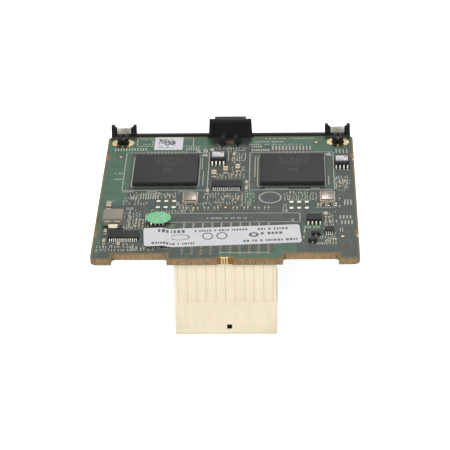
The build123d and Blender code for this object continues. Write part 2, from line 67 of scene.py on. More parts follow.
# The main label's length, its raised left part and the ramp down from it. These and the sizes and places
# below are in millimetres
LABEL_REACH = 49.65
RAISED_REACH = 6.0
RAMP_REACH = 2.2

# Printed frames: left, right, front and back
PRINT_FRAMES = [
    (-32.15, -9.79, 49.13, 71.49), (-35.0, -6.9, 46.6, 74.7), (9.64, 32.03, 49.12, 71.5),
    (6.9, 35.0, 46.6, 74.6), (-31.9, -12.7, 79.8, 86.1), (-26.0, 23.5, 24.2, 30.3),
]

# Printed lines: across and along of each end
PRINT_LINES = [
    (8.7, 56.0, 8.7, 71.0), (33.2, 50.2, 33.2, 56.5), (-8.5, 50.2, -8.5, 60.0), (-9.1, 62.0, -9.1, 70.5),
    (-1.5, 3.9, 13.6, 3.9), (-26.6, 80.5, -26.6, 85.4), (1.7, 66.5, 1.7, 76.0), (1.7, 76.0, 5.3, 76.0),
    (1.7, 68.5, 5.3, 68.5), (-38.4, 7.5, -38.4, 9.5), (-31.3, 20.0, -31.3, 32.8), (5.3, 68.5, 5.3, 74.5),
    (-0.4, 68.5, -0.4, 76.0),
]

# Rows of printed bars: first across, lowest and highest along, count, pitch and bar width
PRINT_ROWS = [
    (-39.3, 76.2, 78.4, 12, 0.95, 0.42), (-28.0, 74.1, 75.6, 12, 1.17, 0.38),
    (-15.0, 76.6, 78.6, 6, 0.8, 0.38), (-13.5, 79.0, 79.7, 4, 0.9, 0.4),
    (14.3, 76.3, 79.5, 12, 1.16, 0.5), (16.6, 74.0, 75.3, 8, 1.35, 0.36),
    (7.3, 75.6, 77.1, 8, 0.8, 0.5), (6.6, 80.2, 81.3, 6, 0.7, 0.4), (7.4, 78.4, 79.5, 5, 0.75, 0.5),
    (35.9, 73.6, 76.6, 4, 1.2, 0.4), (36.2, 26.1, 28.4, 4, 1.08, 0.5), (36.6, 22.5, 24.9, 4, 1.08, 0.5),
    (36.1, 17.4, 19.8, 2, 0.7, 0.3), (28.7, 8.9, 10.3, 6, 0.55, 0.3), (32.0, 9.0, 13.0, 4, 0.85, 0.3),
    (-28.6, 40.4, 44.8, 8, 0.8, 0.34), (-31.6, 40.2, 42.4, 3, 0.7, 0.34), (-32.6, 33.0, 34.6, 4, 0.62, 0.3),
    (-34.6, 45.4, 46.2, 5, 0.75, 0.4), (-19.3, 22.0, 22.6, 7, 0.42, 0.22), (-19.6, 20.7, 21.3, 7, 0.42, 0.22),
    (-21.2, 6.6, 7.2, 8, 0.42, 0.22), (28.6, 33.6, 34.1, 11, 0.6, 0.3), (29.1, 36.5, 37.0, 8, 0.75, 0.3),
    (37.9, 35.7, 39.4, 3, 1.0, 0.42), (12.3, 47.2, 48.0, 14, 0.55, 0.28), (27.4, 47.0, 48.2, 5, 0.6, 0.28),
    (-26.6, 45.3, 46.1, 5, 0.7, 0.4), (-16.2, 45.4, 46.0, 8, 0.6, 0.3), (-39.4, 39.0, 39.6, 4, 0.75, 0.3),
    (-16.6, 35.6, 38.2, 2, 0.6, 0.3), (36.0, 45.6, 46.2, 5, 0.5, 0.25), (-9.5, 36.6, 37.2, 5, 0.6, 0.28),
]

# Printed lines of small marks that stand for designators: first across, along, length and mark height
PRINT_WORDS = [
    (12.0, 85.3, 16.5, 0.7), (8.2, 82.8, 10.0, 0.8), (11.6, 80.7, 14.0, 0.6), (-30.6, 84.9, 4.4, 0.6),
    (-29.8, 81.2, 2.8, 0.6), (35.4, 54.7, 2.6, 0.6), (37.6, 53.0, 2.8, 0.7), (37.6, 51.1, 2.6, 0.7),
    (35.4, 48.8, 2.6, 0.6), (-38.2, 59.3, 2.8, 0.8), (-38.0, 55.0, 2.4, 0.8), (-3.8, 37.7, 2.8, 0.6),
    (-36.0, 21.0, 3.2, 0.6), (-6.4, 26.9, 13.0, 0.9),
]

# Crowded places: lowest and highest across and along, with the number of small pads in each
CROWDED_ZONES = [
    (-5.0, 6.2, 55.2, 60.2, 14), (1.0, 6.0, 60.5, 66.0, 7), (-5.6, 6.2, 77.0, 80.6, 14),
    (1.2, 5.6, 69.0, 76.5, 9), (-34.0, -25.0, 36.5, 46.0, 14), (-24.0, -16.0, 41.0, 46.2, 14),
    (-8.0, 9.5, 35.0, 46.0, 34), (18.2, 29.6, 39.0, 46.4, 26), (18.0, 20.0, 31.0, 37.5, 6),
    (35.4, 40.2, 47.0, 58.0, 14), (-33.0, -26.4, 19.5, 33.0, 22), (24.6, 31.0, 19.6, 22.0, 6),
    (31.0, 35.4, 19.0, 31.0, 12), (-40.5, -27.0, 5.2, 10.6, 16), (-29.6, -22.0, 5.2, 7.6, 12),
    (29.4, 35.6, 12.8, 16.4, 8), (-15.5, -10.0, 31.0, 38.0, 8), (-24.5, -10.0, 30.8, 32.6, 8),
]

# Tinned pads with nothing on them: across, along, width and length
BARE_PADS = [
    (-22.5, 39.0, 1.25, 1.2), (-20.0, 39.0, 1.25, 1.2), (-17.4, 39.0, 1.25, 1.2),
    (-22.5, 34.7, 1.25, 1.2), (-20.0, 34.7, 1.25, 1.2), (-17.4, 34.7, 1.25, 1.2),
    (20.8, 38.0, 1.25, 1.2), (23.3, 38.0, 1.25, 1.2), (25.8, 38.0, 1.25, 1.2),
    (20.8, 33.8, 1.25, 1.2), (23.3, 33.8, 1.25, 1.2), (25.8, 33.8, 1.25, 1.2),
    (-10.7, 76.5, 1.2, 0.6), (-10.7, 75.2, 1.2, 0.6), (-8.3, 76.6, 1.4, 0.6), (-8.3, 75.3, 1.4, 0.6),
    (-6.1, 77.3, 1.2, 0.6), (-6.1, 76.1, 1.4, 0.6), (21.3, 25.1, 0.4, 0.7), (32.4, 36.8, 1.4, 0.7),
    (34.9, 36.8, 1.2, 0.7), (32.4, 35.2, 1.4, 0.6), (34.9, 35.2, 1.2, 0.6),
]

# Ringed tooling holes: across and along, with the radii of the ring, the sleeve and the painted glint in each
HOLE_PLACES = [(-36.92, 71.41), (29.4, 82.02), (36.92, 14.1)]
RING_RADIUS, SLEEVE_RADIUS, GLINT_RADIUS = 1.3, 0.49, 0.34
SLEEVE_RISE = 0.08
GLINT_RISE = 0.05

# Bare copper test discs: across, along and radius. The second has a painted glint on it
DISC_PLACES = [(37.1, 8.1, 1.5), (-0.5, 34.2, 1.4)]

# Rings round the press-fit tails, and the printed strokes that lead to them
TAIL_RING_RADIUS = 0.42
TAILS_IN_COLUMN = 15
STROKE_HALF, STROKE_FRONT, STROKE_BACK = 0.12, 18.5, 24.2

# Small pads come in pairs: width and length, gap in a pair, and the steps across and along
SMALL_PAD = (0.3, 0.34)
PAIR_GAP = 0.85
PAD_STEP, ROW_STEP = 0.95, 2.0

# Half-round ribs in the key slot: places across, place along and radii
RIB_PLACES = (-0.95, -0.15, 0.7)
RIB_LINE = 0.62
RIB_RADII = (0.36, 0.4)

# Seeds of the random draws
PAD_SEED, PRINT_SEED, LABEL_SEED = 11, 5, 8

# What the small pads draw from: steps to the right and back
PAD_SHIFTS, ROW_SHIFTS = (0.0, 0.0, 0.3), (0.0, 0.0, 0.35)

# What the print draws from: widths and gaps of the marks in a word, and a lone mark's heights. Then its width
WORD_WIDTHS, WORD_GAPS = (0.3, 0.45, 0.45, 0.6), (0.25, 0.25, 0.9)
LONE_HEIGHTS, LONE_WIDTH = (0.6, 0.9, 1.3), 0.22

# What the label's bars draw from: widths and gaps, in shares of a bar's height
BAR_WIDTHS, BAR_GAPS = (0.35, 0.5, 0.65), (0.25, 0.25, 0.3, 0.8)

# Least angles, in degrees, of an edge that is rounded and of one that stays sharp in the shading
ROUND_ANGLE, SHADE_ANGLE = 35, 32

# Oval mark and corner triangles of the print
OVAL_PLACE, OVAL_RADII = (13.85, 41.15), (3.75, 4.15)
CORNER_MARKS = {"corner_mark_right": (33.4, 72.75), "corner_mark_left": (-8.4, 72.65)}
CORNER_RADIUS, CORNER_TURN = 1.7, -15

# The small square window in the connector's nose, and the dark plate behind it that paints the shade inside
WINDOW_WIDE, WINDOW_TALL = 1.6, 1.66
WINDOW_PLACE, WINDOW_RISE = 1.05, 2.2
PLATE_SETBACK, PLATE_THICK, PLATE_INSET, PLATE_SINK = 0.35, 0.3, 0.15, 0.1
WAFER_SPREAD = 0.065

# First-pin dimples: radius and inset on a small chip and on one wider than LARGE_CHIP, and depth
SMALL_DIMPLE, LARGE_DIMPLE = (0.35, 0.9), (0.5, 1.9)
LARGE_CHIP = 15.0
DIMPLE_DEPTH = 0.16

# Solder under a lead's foot
TOE_REACH, FOOT_LENGTH, FOOT_MARGIN, FOOT_RISE = 0.3, 1.1, 0.03, 0.07

# Edge radii of the clips, the oscillators and the inductor
CLIP_EDGE, OSCILLATOR_EDGE, INDUCTOR_EDGE = 0.05, 0.08, 0.3

# Tinned ends of a small chip: growth past the body, share of its length, and the reach and share of its
# height that the solder at the foot takes
CAP_GROWTH, CAP_SHARE = 0.02, 0.24
FILLET_REACH, FILLET_SHARE = 0.35, 0.45

# The inductor's front, in shares of its width and height: the two bars, then the terminal's sides, top, and
# drop and taper to its tip. Below them in millimetres: reaches to the front, and overlap with the body
BAR_SIDES, BAR_LOW, BAR_HIGH = ((0.1, 0.42), (0.55, 0.86)), 0.6, 0.7
TERMINAL_SIDES, TERMINAL_TOP, TERMINAL_DROP, TERMINAL_TAPER = (0.26, 0.76), 0.32, 0.25, (0.8, 1, 0.2)
BAR_REACH, TERMINAL_REACH, TERMINAL_SWEEP, FRONT_OVERLAP = 0.3, 0.1, 0.8, 0.2

# Solder pad at an oscillator's corner: inset of its middle, reach past the edge, half sizes and height
CORNER_INSET, CORNER_PAST, CORNER_HALF, CORNER_RISE = 0.75, 0.1, (0.65, 0.45), 0.25

# The main label's turn in degrees, its crease and corner radii, and the height of flat paper
LABEL_TURN = 3.9
CREASE_RADIUS, CORNER_ROUND = 0.9, 1.0
PAPER_RISE = 0.1
INK_RISE = 0.015

# Lines of bars on the main label: along and across it from its middle, height and reach
LABEL_LINES = [
    (-20.2, 4.0, 1.9, 8.2), (-8.6, 3.9, 1.1, 16.8), (11.4, 3.7, 1.2, 9.6), (12.2, 0.8, 1.5, 6.2),
    (-22.4, -4.1, 1.2, 13.8), (6.5, -3.8, 1.3, 16.6),
]

# Rings on the main label: name, inner share, and along, across and two radii of each
LABEL_RINGS = [
    ("label_rings", 0.78, [(-4.6, 0.2, 1.75, 2.3), (-0.1, 0.2, 1.75, 2.3)]),
    ("label_disc", 0.5, [(10.0, 0.2, 1.6, 1.5)]),
    ("label_oval", 0.86, [(-13.4, 0.1, 3.2, 1.9)]),
]

# Rows of marks on a tag: rise from its front edge and count, then their inset, step and size
TAG_ROWS = [(0.9, 5), (0.35, 6)]
TAG_INSET, TAG_STEP, TAG_MARK = 0.35, 0.42, (0.26, 0.3)

# The red dot on a tag: far and near insets from its back right corner, and height
DOT_FAR, DOT_NEAR, DOT_RISE = (1.3, 1.2), (0.2, 0.2), 0.02

# Lamps: place from the board's middle and side in metres, and power in watts
LAMPS = {
    "key": ((-0.4, -0.95, 0.6), 0.7, 6.6),
    "fill": ((0.7, -0.75, 0.5), 0.7, 2.8),
    "back": ((0.05, 0.8, 0.85), 0.3, 6.5),
}

# The camera that the photograph's corners give: its turns in degrees, then its aim and distance
CAMERA_YAW, CAMERA_DIP, CAMERA_ROLL = -1.926, 28.034, -1.203
CAMERA_AIM, CAMERA_DISTANCE = (-0.427, 22.185), 695.411

# The floor's side in metres and the light that the camera sees in it
FLOOR_SIDE, FLOOR_LIFT = 6, 0.8

# Places where the copper planes stop and the mask looks greener: low and high across and along
GREEN_ZONES = [
    (-41.3, -33.0, 36.0, 78.0), (-41.3, -6.0, 75.6, 87.0), (7.0, 40.0, 79.6, 87.0), (27.6, 38.0, 74.8, 80.0),
    (-2.0, 22.5, 0.6, 4.4), (15.2, 22.3, 4.4, 9.8), (-41.3, -39.6, 4.0, 36.0), (24.3, 30.5, 19.8, 22.5),
    (27.0, 30.6, 30.0, 31.6), (5.8, 8.3, 36.0, 47.0),
]

# The square label's field and line of little squares, and the side of a square
CODE_ZONES = [(-24.6, -18.8, 80.0, 85.3), (-24.4, -19.4, 78.2, 79.0)]
CODE_CELL = 0.44

# Marks etched on the controllers: their middles, left, right, front and back from there, and a dot's sides
ETCHED_PLACES = [(-20.4, 60.3), (21.4, 60.3)]
ETCHED_LINES = [
    (-5.0, 5.0, 6.4, 7.5), (-4.6, 5.4, 4.6, 5.7), (-5.0, 4.6, 2.8, 3.9), (-3.4, 2.4, 1.0, 2.1),
    (-1.6, 1.4, -3.6, -0.8),
]
ETCHED_CELL = (0.45, 0.5, 10)

# The two notches and the key slot in the front edge, as their edges show on the top
CUT_ZONES = [(-35.4, -18.1, -1, 3.4), (18.1, 35.4, -1, 3.4), (-2.1, 2.1, -1, 0.6)]

# Places along the edges where the resin is burnt orange, at the breakaway tabs and the key slot
BURNT_ZONES = [
    (-1.9, -1.1, -0.5, 1.3), (1.1, 2.6, -0.5, 1.3),
    (-42.1, -40.8, 69.5, 73.2), (-42.1, -40.9, 14.2, 18.6), (40.9, 42.1, 70.0, 73.4),
    (40.9, 42.1, 15.2, 18.4),
]

# Places in the broken tabs of the right edge where glass fibres stand out white, and where a highlight on the
# lit notch walls is painted pale
FIBRE_AND_HIGHLIGHT_ZONES = [(41.35, 42.1, 68.1, 69.2), (41.35, 42.1, 14.0, 15.1)]


def colour(code):
    """Turns an sRGB hex value into the linear colour that shaders use."""
    shares = [int(code[first:first + 2], 16) / 255 for first in (1, 3, 5)]
    linear = [share / 12.92 if share <= 0.04045 else ((share + 0.055) / 1.055) ** 2.4 for share in shares]
    return (*linear, 1.0)


def sized(place, wide, deep, tall):
    """Gives the placing that puts a unit piece at a point and stretches it to a size."""
    return Matrix.Translation(place) @ Matrix.Diagonal((wide, deep, tall, 1.0))


def on_board(across, along, rise=0.0):
    """Gives the point above a place on the board, all in millimetres."""
    return Vector((across * MM, BOARD_LOW.y + along * MM, BOARD_TOP + rise * MM))


def swatch(name, description, code):
    """Declares a colour that a user may change."""
    return FloatVectorProperty(name=name, description=description, subtype="COLOR", size=4, min=0, max=1,
                               default=colour(code))


def length(name, description, size):
    """Declares a length that a user may change, given in millimetres."""
    return FloatProperty(name=name, description=description, default=size * MM, min=0, unit="LENGTH")


class BoardSettings(bpy.types.PropertyGroup):
    """Sizes and colours of the bare board, its print and its solder."""
    mask: swatch("Mask", "Solder mask over the copper planes", "#414A43")
    green_mask: swatch("Green mask", "Solder mask where no copper lies beneath", "#42624F")
    resin: swatch("Resin", "Cut glass-epoxy edge", "#A38A69")
    margin: swatch("Margin", "Bare resin along the edges of the top", "#75653E")
    burnt: swatch("Burnt resin", "Resin at the snapped tabs", "#96672F")
    ink: swatch("Print", "Printed lines and marks", "#A3A598")
    tin: swatch("Tin", "Tinned pads and leads", "#B4B0A4")
    margin_width: length("Margin width", "Bare strip along the edges", 0.65)
    line_width: length("Line width", "Width of a printed line", 0.3)
    print_thickness: length("Print thickness", "Height of the print above the board", 0.02)
    pad_thickness: length("Pad thickness", "Height of a tinned pad above the board", 0.04)


class MouldingSettings(bpy.types.PropertyGroup):
    """Colours and edge radii of the connector and the bracket."""
    polymer: swatch("Connector polymer", "Cream polymer of the connector", "#F3E6CC")
    nylon: swatch("Bracket nylon", "Black nylon of the bracket", "#262628")
    # The tone painted on the bracket's upward faces for how light falls on them
    top_light_nylon: swatch("Nylon with painted top light", "Bracket faces that look up", "#242426")
    steel: swatch("Spring steel", "Grounding clips", "#E4E2DC")
    polymer_edge: length("Connector edge", "Rounding of the connector's edges", 0.08)
    nylon_edge: length("Bracket edge", "Rounding of the bracket's edges", 0.16)


class ChipSettings(bpy.types.PropertyGroup):
    """Colours and edge radii of the chips and the other parts."""
    epoxy: swatch("Chip epoxy", "Moulded chip bodies", "#302F30")
    ceramic: swatch("Oscillator ceramic", "Oscillator bases", "#A89A88")
    lid: swatch("Oscillator lid", "Nickel-plated lids", "#68625A")
    capacitor: swatch("Capacitor ceramic", "Bodies of the chip capacitors", "#9C8863")
    resistor: swatch("Resistor glaze", "Bodies of the small chips", "#5B5148")
    powder: swatch("Iron powder", "Inductor body", "#7F766A")
    chip_edge: length("Chip edge", "Rounding of a chip's edges", 0.06)


class PaperSettings(bpy.types.PropertyGroup):
    """Colours of the labels and the sticker."""
    paper: swatch("Label paper", "White label stock", "#D2D2D4")
    print: swatch("Label print", "Print on the labels", "#35353B")
    green: swatch("Sticker", "Round green sticker", "#4BAC6E")
    red: swatch("Dot", "Red dot on the tags", "#C4586A")


class StageSettings(bpy.types.PropertyGroup):
    """Camera and light levels."""
    lens: FloatProperty(name="Lens", description="Camera's focal length", default=174.42, unit="CAMERA")
    key_power: FloatProperty(name="Key light", description="Power of the key light", default=1.0)
    ambient: FloatProperty(name="Ambient", description="Level of the light from all round", default=0.3)


def select_only(*objects):
    """Leaves edit mode, selects these objects alone and makes the first one active."""
    if bpy.context.object and bpy.context.object.mode != "OBJECT":
        bpy.ops.object.mode_set(mode="OBJECT")
    bpy.ops.object.select_all(action="DESELECT")
    for piece in objects:
        piece.select_set(True)
    bpy.context.view_layer.objects.active = objects[0] if objects else None


def settle(piece):
    """Moves the piece's place, turn and scale into its mesh."""
    select_only(piece)
    bpy.ops.object.transform_apply(location=True, rotation=True, scale=True)


def block(name, low, high):
    """Adds a cube that fills the space between two corners."""
    select_only()
    bpy.ops.mesh.primitive_cube_add(size=1, location=(Vector(low) + Vector(high)) / 2)
    made = bpy.context.object
    made.name = name
    made.scale = Vector(high) - Vector(low)
    settle(made)
    return made


def choose_faces(piece, test):
    """Enters edit mode and selects the faces whose centre and normal pass the test."""
    select_only(piece)
    bpy.ops.object.mode_set(mode="EDIT")
    bpy.ops.mesh.select_mode(type="FACE")
    bpy.ops.mesh.select_all(action="DESELECT")
    mesh = bmesh.from_edit_mesh(piece.data)
    for face in mesh.faces:
        if test(face.calc_center_median(), face.normal):
            face.select_set(True)
    bmesh.update_edit_mesh(piece.data)


def choose_edges(piece, test):
    """Enters edit mode and selects the edges whose two ends pass the test."""
    select_only(piece)
    bpy.ops.object.mode_set(mode="EDIT")
    bpy.ops.mesh.select_mode(type="EDGE")
    bpy.ops.mesh.select_all(action="DESELECT")
    mesh = bmesh.from_edit_mesh(piece.data)
    for edge in mesh.edges:
        edge.select_set(test(edge.verts[0].co, edge.verts[1].co))
    bmesh.update_edit_mesh(piece.data)


def choose_all():
    """Enters edit mode on the active piece and selects all of its mesh."""
    bpy.ops.object.mode_set(mode="EDIT")
    bpy.ops.mesh.select_all(action="SELECT")


def leave_edit():
    """Goes back to object mode."""
    bpy.ops.object.mode_set(mode="OBJECT")


def round_edges(piece, width, segments=2):
    """Bevels the piece's sharp edges and smooths its shading."""
    select_only(piece)
    bevel = piece.modifiers.new("edges", "BEVEL")
    bevel.width = width
    bevel.segments = segments
    bevel.limit_method = "ANGLE"
    bevel.angle_limit = math.radians(ROUND_ANGLE)
    bevel.harden_normals = False
    bpy.ops.object.modifier_apply(modifier=bevel.name)
    bpy.ops.object.shade_smooth_by_angle(angle=math.radians(SHADE_ANGLE))


def merged_copy(node, name):
    """Copies a CAD node's mesh and merges its loose triangles into whole faces."""
    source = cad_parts[node]
    copy = bpy.data.objects.new(name, source.data.copy())
    bpy.context.scene.collection.objects.link(copy)
    select_only(copy)
    choose_all()
    bpy.ops.mesh.remove_doubles(threshold=0.001 * MM)
    bpy.ops.mesh.dissolve_limited(angle_limit=math.radians(1))
    bpy.ops.mesh.faces_shade_flat()
    leave_edit()
    return copy


def solid_boxes(node):
    """Gives the lowest and highest corners of each separate solid in a CAD node."""
    copy = merged_copy(node, "scratch_solids")
    choose_all()
    bpy.ops.mesh.separate(type="LOOSE")
    leave_edit()
    parts = list(bpy.context.selected_objects)
    if copy not in parts:
        parts.append(copy)
    boxes = []
    for part in parts:
        corners = [vertex.co for vertex in part.data.vertices]
        low = Vector([min(corner[axis] for corner in corners) for axis in range(3)])
        high = Vector([max(corner[axis] for corner in corners) for axis in range(3)])
        boxes.append((low, high))
        bpy.data.objects.remove(part)
    return sorted(boxes, key=lambda corners: (corners[0].x, corners[0].y))


def stamp(source, name, placings):
    """Copies one modelled piece to each placing, with its own mesh, and joins the copies."""
    copies = []
    for placing in placings:
        copy = source.copy()
        copy.data = source.data.copy()
        copy.data.transform(placing)
        bpy.context.scene.collection.objects.link(copy)
        copies.append(copy)
    bpy.data.objects.remove(source)
    select_only(*copies)
    bpy.ops.object.join()
    joined = bpy.context.object
    joined.name = name
    return joined


def fitted(low, high):
    """Gives the placing that stretches a unit cube about the origin over a box."""
    return sized((Vector(low) + Vector(high)) / 2, *(Vector(high) - Vector(low)))


def unit_block(name, bevel=0.0):
    """Models a unit cube about the origin, with its upright edges cut back by a share."""
    made = block(name, (-0.5, -0.5, -0.5), (0.5, 0.5, 0.5))
    if bevel:
        choose_faces(made, lambda centre, normal: normal.z > 0.9)
        bpy.ops.mesh.bevel(offset=bevel, segments=2, affect="EDGES")
        leave_edit()
    return made


def flat_ring(name, inner, count=32):
    """Models a flat ring with an outer radius and a height of one."""
    select_only()
    bpy.ops.mesh.primitive_circle_add(vertices=count, radius=1, fill_type="NOTHING")
    made = bpy.context.object
    made.name = name
    choose_all()
    bpy.ops.mesh.extrude_edges_move()
    bpy.ops.transform.resize(value=(inner, inner, 1))
    bpy.ops.mesh.select_all(action="SELECT")
    bpy.ops.mesh.extrude_region_move(TRANSFORM_OT_translate={"value": (0, 0, 1)})
    bpy.ops.mesh.select_all(action="SELECT")
    bpy.ops.mesh.normals_make_consistent(inside=False)
    leave_edit()
    return made


def dress(piece, material, slot, *replaced):
    """Gives a finished piece its material, its body and the nodes that it stands for. Its slot is not used.
    """
    piece.data.materials.clear()
    piece.data.materials.append(material)
    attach(piece, BODY)
    if replaced:
        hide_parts(*replaced)


def set_blocks(name, placings, material, slot, bevel=0.0):
    """Stands a block at each placing, as one finished piece."""
    dress(stamp(unit_block("block", bevel), name, placings), material, slot)


def soften(node, name, width, material, slot, segments=2):
    """Stands a finished copy with rounded edges in for a CAD node."""
    copy = merged_copy(node, name)
    round_edges(copy, width, segments)
    dress(copy, material, slot, node)


def paint_node(name, material):
    """Gives a CAD node its material."""
    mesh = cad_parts[name].data
    mesh.materials.clear()
    mesh.materials.append(material)


def node(tree, kind, inputs=None, **properties):
    """Adds a shader node, sets its properties, and sets or links its inputs."""
    made = tree.nodes.new(kind)
    for name, value in properties.items():
        setattr(made, name, value)
    for socket, value in (inputs or {}).items():
        if isinstance(value, bpy.types.NodeSocket):
            tree.links.new(value, made.inputs[socket])
        else:
            made.inputs[socket].default_value = value
    return made


def combine(tree, operation, first, second=0.0, clamp=False):
    """Joins two values with a math node."""
    return node(tree, "ShaderNodeMath", {0: first, 1: second}, operation=operation,
                use_clamp=clamp).outputs[0]


def vector_math(tree, operation, first, second=(0, 0, 0)):
    """Joins two vectors with a vector math node."""
    return node(tree, "ShaderNodeVectorMath", {0: first, 1: second}, operation=operation).outputs[0]


def scaled(tree, vector, factor):
    """Multiplies a vector or a colour by a value."""
    return node(tree, "ShaderNodeVectorMath", {0: vector, "Scale": factor}, operation="SCALE").outputs[0]


def cell_noise(tree, place, cell):
    """Gives every cell of a grid a random value, for a cell's sides in metres."""
    snapped = vector_math(tree, "SNAP", place, cell)
    return node(tree, "ShaderNodeTexWhiteNoise", {"Vector": snapped}).outputs["Value"]


def coordinate(tree, vector, axis):
    """Gives one coordinate of a vector."""
    return node(tree, "ShaderNodeSeparateXYZ", {0: vector}).outputs[axis]


def upward(tree):
    """Gives the upright part of the surface's normal."""
    return coordinate(tree, node(tree, "ShaderNodeNewGeometry").outputs["Normal"], 2)


def seen_straight(tree):
    """Gives one to camera, glossy and transmission rays, and nothing to the rest."""
    path = node(tree, "ShaderNodeLightPath").outputs
    seen = combine(tree, "ADD", path["Is Camera Ray"], path["Is Glossy Ray"])
    return combine(tree, "ADD", seen, path["Is Transmission Ray"], True)


def new_surface(name):
    """Starts a material and gives it, its node tree and its Object coordinates."""
    material = bpy.data.materials.new(name)
    material.use_nodes = True
    tree = material.node_tree
    tree.nodes.clear()
    place = node(tree, "ShaderNodeTexCoord").outputs["Object"]
    return material, tree, place


def finish_surface(tree, base, roughness, height, depth, **sockets):
    """Ends a material: colour, roughness, a bump of the given depth in millimetres and fixed sockets."""
    bump = node(tree, "ShaderNodeBump", {"Height": height, "Distance": depth * MM, "Strength": 1.0})
    inputs = {"Base Color": base, "Roughness": roughness, "Normal": bump.outputs[0]}
    inputs.update({name.replace("_", " "): value for name, value in sockets.items()})
    shader = node(tree, "ShaderNodeBsdfPrincipled", inputs)
    node(tree, "ShaderNodeOutputMaterial", {"Surface": shader.outputs[0]})


def speckle(tree, place, size, detail=2.0, stretch=(1, 1, 1)):
    """Gives a noise whose grains are the given size in millimetres, stretched along an axis."""
    along = vector_math(tree, "MULTIPLY", place, stretch)
    return node(tree, "ShaderNodeTexNoise",
                {"Vector": along, "Scale": 1 / (size * MM), "Detail": detail}).outputs[0]


def between(tree, value, low, high, first=0.0, last=1.0):
    """Spreads a value's range from low to high over first to last."""
    spread = node(tree, "ShaderNodeMapRange", {"Value": value, "From Min": low, "From Max": high,
                                               "To Min": first, "To Max": last})
    return spread.outputs[0]


def swing(tree, noise, low, high):
    """Spreads a noise's usual range over low to high."""
    return between(tree, noise, 0.3, 0.7, low, high)


def blend(tree, share, first, second):
    """Mixes two colours by a share."""
    return node(tree, "ShaderNodeMix", {0: share, 6: first, 7: second}, data_type="RGBA").outputs[2]


def shade(tree, tint, value, low, high):
    """Darkens or lightens a colour between two factors as a noise goes from its low to its high."""
    factor = swing(tree, value, low, high)
    if not isinstance(tint, bpy.types.NodeSocket):
        tint = tint[:3]
    return scaled(tree, tint, factor)


def box_reach(tree, place, low, high):
    """Gives how far a point lies outside a flat box, in metres, and less than nothing inside it."""
    centre = (Vector(low) + Vector(high)) / 2
    half = (Vector(high) - Vector(low)) / 2
    away = vector_math(tree, "ABSOLUTE", vector_math(tree, "SUBTRACT", place, centre))
    past = vector_math(tree, "SUBTRACT", away, half)
    axes = node(tree, "ShaderNodeSeparateXYZ", {0: past}).outputs
    return combine(tree, "MAXIMUM", axes[0], axes[1])


def nearest(tree, reaches):
    """Joins several boxes into one shape."""
    joined = reaches[0]
    for reach in reaches[1:]:
        joined = combine(tree, "MINIMUM", joined, reach)
    return joined


def zone_reaches(tree, place, zones):
    """Gives the reach of each zone in a table of low and high across and along."""
    return [box_reach(tree, place, on_board(left, front), on_board(right, back))
            for left, right, front, back in zones]


def zoned(tree, place, zones, edge):
    """Gives one inside the zones and nothing outside, over an edge of the given half width in millimetres."""
    return between(tree, nearest(tree, zone_reaches(tree, place, zones)), edge * MM, -edge * MM)


def plain_surface(name, tint, roughness, grain, depth, tone=(0.94, 1.05), stretch=(1, 1, 1), **sockets):
    """Makes a material of one tint with fine grain: tone gives the factors of its darkest and lightest."""
    material, tree, place = new_surface(name)
    fine = speckle(tree, place, grain, stretch=stretch)
    broad = speckle(tree, place, 12 * grain)
    base = shade(tree, shade(tree, tint, fine, *tone), broad, 0.97, 1.03)
    rough = swing(tree, fine, roughness - 0.06, roughness + 0.06)
    finish_surface(tree, base, rough, fine, depth, **sockets)
    return material


